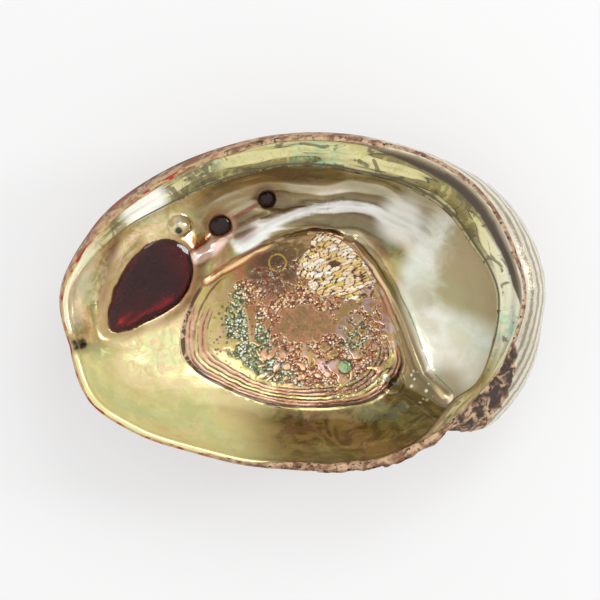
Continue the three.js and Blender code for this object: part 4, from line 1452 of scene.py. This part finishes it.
# Painted shade in the notch of the newest hole, inside the lip.
notch_painted_shade = (get.notch + 1.6 * (fine - 0.5)).below(1.2, 2.8) * get.from_crest.above(0.6, 2.2)
everything = wash(everything, notch_painted_shade, 34, 20, 12)
tree.links.new(everything.socket, shader.inputs["Base Color"])
print("with the back:", len(tree.nodes), "nodes")

# %% [markdown]
# ## Shine and fine bump
#
# Nacre is smooth, coated and half metallic, and lime is rough. A bump adds the grit that is too fine for the
# mesh. The metallic share is lowered where a highlight or reflection is painted into the colour: on the arc, at
# the top of the hollow and in the hollow. There a mirror would only show the room, so the painted brightness
# shows instead.

# %% Shine and fine bump
lime_side = (1 - get.inner.above(0.3, 0.7) + get.rim_crust.above(0.25, 0.6)).clamped()
bare_side = lime_side * (1 - 0.9 * get.worn * (1 - get.rim_crust).clamped())
polish = 0.13 + 0.14 * fine + 0.14 * get.crust + 0.10 * get.flakes
tree.links.new((polish * (1 - bare_side) + 0.78 * bare_side).socket, shader.inputs["Roughness"])
metal = 0.62 * (1 - bare_side) * (1 - 0.45 * lower_left) * (1 - 0.3 * left_wall)
for painted_bright_place in (painted_highlight_arc, in_hollow, painted_highlight_top):
    metal = metal * (1 - 0.6 * painted_bright_place)
tree.links.new(metal.socket, shader.inputs["Metallic"])
tree.links.new((0.9 * (1 - bare_side)).socket, shader.inputs["Coat Weight"])
shader.inputs["Coat Roughness"].default_value = 0.04
grit = cloud(mm, 0.8, 4) * 0.5 + cloud(mm, 2.5, 4)
bump_height = bare_side * grit * 0.5 + get.crust.above(0.2, 0.5) * (1 - bead) * 0.7
bump_height = bump_height + get.flakes.above(0.3, 0.6) * (0.3 * fine + 0.4 * get.flake_gap) - line * 0.2
bump_height = bump_height + 0.10 * flow + dust * 0.25 + bare_side * (get.growth * 24).maths("SINE") * 0.06
bumped = node(tree, "ShaderNodeBump", {}, {"Strength": 0.9, "Distance": 0.001, "Height": bump_height})
tree.links.new(bumped.socket, shader.inputs["Normal"])
shell.data.materials.append(nacre)
print("shell material:", len(tree.nodes), "nodes")

# %% [markdown]
# ## Resin and specks
#
# The resin's surface is clear and smooth, and the red is all in its volume: a Volume Absorption node takes
# light away with depth, as dyed resin does. It is the same everywhere, so it is set on the node itself.

# %% Resin material
resin, tree, shader, out = new_material("clear_red_resin")
shader.inputs["Base Color"].default_value = (1.0, 0.86, 0.84, 1)
shader.inputs["Transmission Weight"].default_value = 1.0
shader.inputs["Roughness"].default_value = 0.02
shader.inputs["IOR"].default_value = 1.42
absorb = tree.nodes.new("ShaderNodeVolumeAbsorption")
absorb.inputs["Color"].default_value = (0.73, 0.03, 0.02, 1)
absorb.inputs["Density"].default_value = 1250
tree.links.new(absorb.outputs[0], out.inputs["Volume"])
mm = millimetres(tree)
ripple = node(tree, "ShaderNodeBump", {}, {"Strength": 0.15, "Distance": 0.001, "Height": cloud(mm, 7, 2)})
tree.links.new(ripple.socket, shader.inputs["Normal"])

bubble, tree, shader, out = new_material("pale_specks")
mm = millimetres(tree)
pale = blend(cloud(mm, 3).above(0.4, 0.6), colour(236, 214, 206), colour(214, 120, 110))
tree.links.new(pale.socket, shader.inputs["Base Color"])
shader.inputs["Roughness"].default_value = 0.4
for piece in (pool_piece, large_plug, small_plug):
    piece.data.materials.append(resin)
specks_piece.data.materials.append(bubble)
print("materials:", [m.name for m in (nacre, resin, bubble)])

# %% [markdown]
# ## What stands for what
#
# Each finished piece rides on the part's only body and takes the place of its simple solid. The specks have
# no solid of their own, so they only ride.

# %% Put each piece in place of its solid
STANDS_FOR = [
    (shell, "shell", "nacre"), (pool_piece, "resin_pool", "red_resin"),
    (large_plug, "resin_plug_large", "red_resin"), (small_plug, "resin_plug_small", "red_resin"),
]
for piece, node_name, slot_name in STANDS_FOR:
    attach(piece, "root")
    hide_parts(node_name)
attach(specks_piece, "root")
print("pieces that stand for a solid:", len(STANDS_FOR))

# %% [markdown]
# ## Floor, light and camera
#
# The shell lies on a plain pale surface and is seen from straight above. Mother-of-pearl shows what is
# around it, so one large soft light stands behind the shell and the sky is brighter above than at the
# horizon.

# %% Floor
floor_bm = bmesh.new()
bmesh.ops.create_circle(floor_bm, cap_ends=True, segments=64, radius=3)
floor = mesh_object("floor", floor_bm)
floor_material, tree, shader, out = new_material("pale_floor")
shader.inputs["Base Color"].default_value = (0.36, 0.36, 0.36, 1)
shader.inputs["Roughness"].default_value = 0.75
shader.inputs["Emission Color"].default_value = (1, 1, 1, 1)
shader.inputs["Emission Strength"].default_value = 0.51
floor.data.materials.append(floor_material)
print("floor, m across:", floor.dimensions.x)

# %% [markdown]
# ## Light
#
# A large soft lamp stands behind and a smaller one at the right, low enough to draw one bright line on the
# resin. The sky is darker straight above, where a camera and its stand would hang.

# %% Light
world = bpy.data.worlds.new("studio")
bpy.context.scene.world = world
world.use_nodes = True
tree = world.node_tree
background = next(n for n in tree.nodes if n.type == "BACKGROUND")
up = node(tree, "ShaderNodeSeparateXYZ", {}, [node(tree, "ShaderNodeTexCoord", output=0)], output=2)
sky = blend(up.above(0.0, 0.95), (0.34, 0.34, 0.34), (1.06, 1.06, 1.06))
sky = blend(up.above(0.95, 0.985), sky, (0.45, 0.45, 0.45))
tree.links.new(sky.socket, background.inputs["Color"])
background.inputs["Strength"].default_value = 1.08


def soft_light(name, place, size, power):
    light = bpy.data.lights.new(name, "AREA")
    light.shape, light.size, light.energy = "SQUARE", size, power
    lamp = bpy.data.objects.new(name, light)
    bpy.context.scene.collection.objects.link(lamp)
    lamp.location = place
    lamp.rotation_mode = "QUATERNION"
    lamp.rotation_quaternion = (Vector((0, 0, 0.02)) - Vector(place)).to_track_quat("-Z", "Y")
    return lamp


soft_light("key", (0.35, 0.85, 1.15), 0.6, 4.5)
soft_light("window", (1.17, 0.2, 0.69), 0.28, 4.5)
print("lamps:", [lamp.name for lamp in bpy.data.lights])

# %% [markdown]
# ## Camera
#
# A long lens looks straight down, so the walls don't lean. It stands as far off as makes the shell fill
# about four fifths of the width.

# %% Camera
camera = bpy.data.objects.new("camera", bpy.data.cameras.new("camera"))
bpy.context.scene.collection.objects.link(camera)
bpy.context.scene.camera = camera
camera.data.lens, camera.data.sensor_width = 200, 36
view_width = 0.2226
rim_level = cad_high.z - 0.004
camera.location = (-0.0014, 0.0007, rim_level + view_width * camera.data.lens / camera.data.sensor_width)
camera.data.clip_start, camera.data.clip_end = 0.05, 20
print("camera, m above the ground:", round(camera.location.z, 3))
bpy.context.scene.view_settings.view_transform = "Standard"
bpy.context.scene.view_settings.look = "None"

# %% [markdown]
# ## Finish
#
# The view layer is brought up to date.

# %% Finish
bpy.context.view_layer.update()
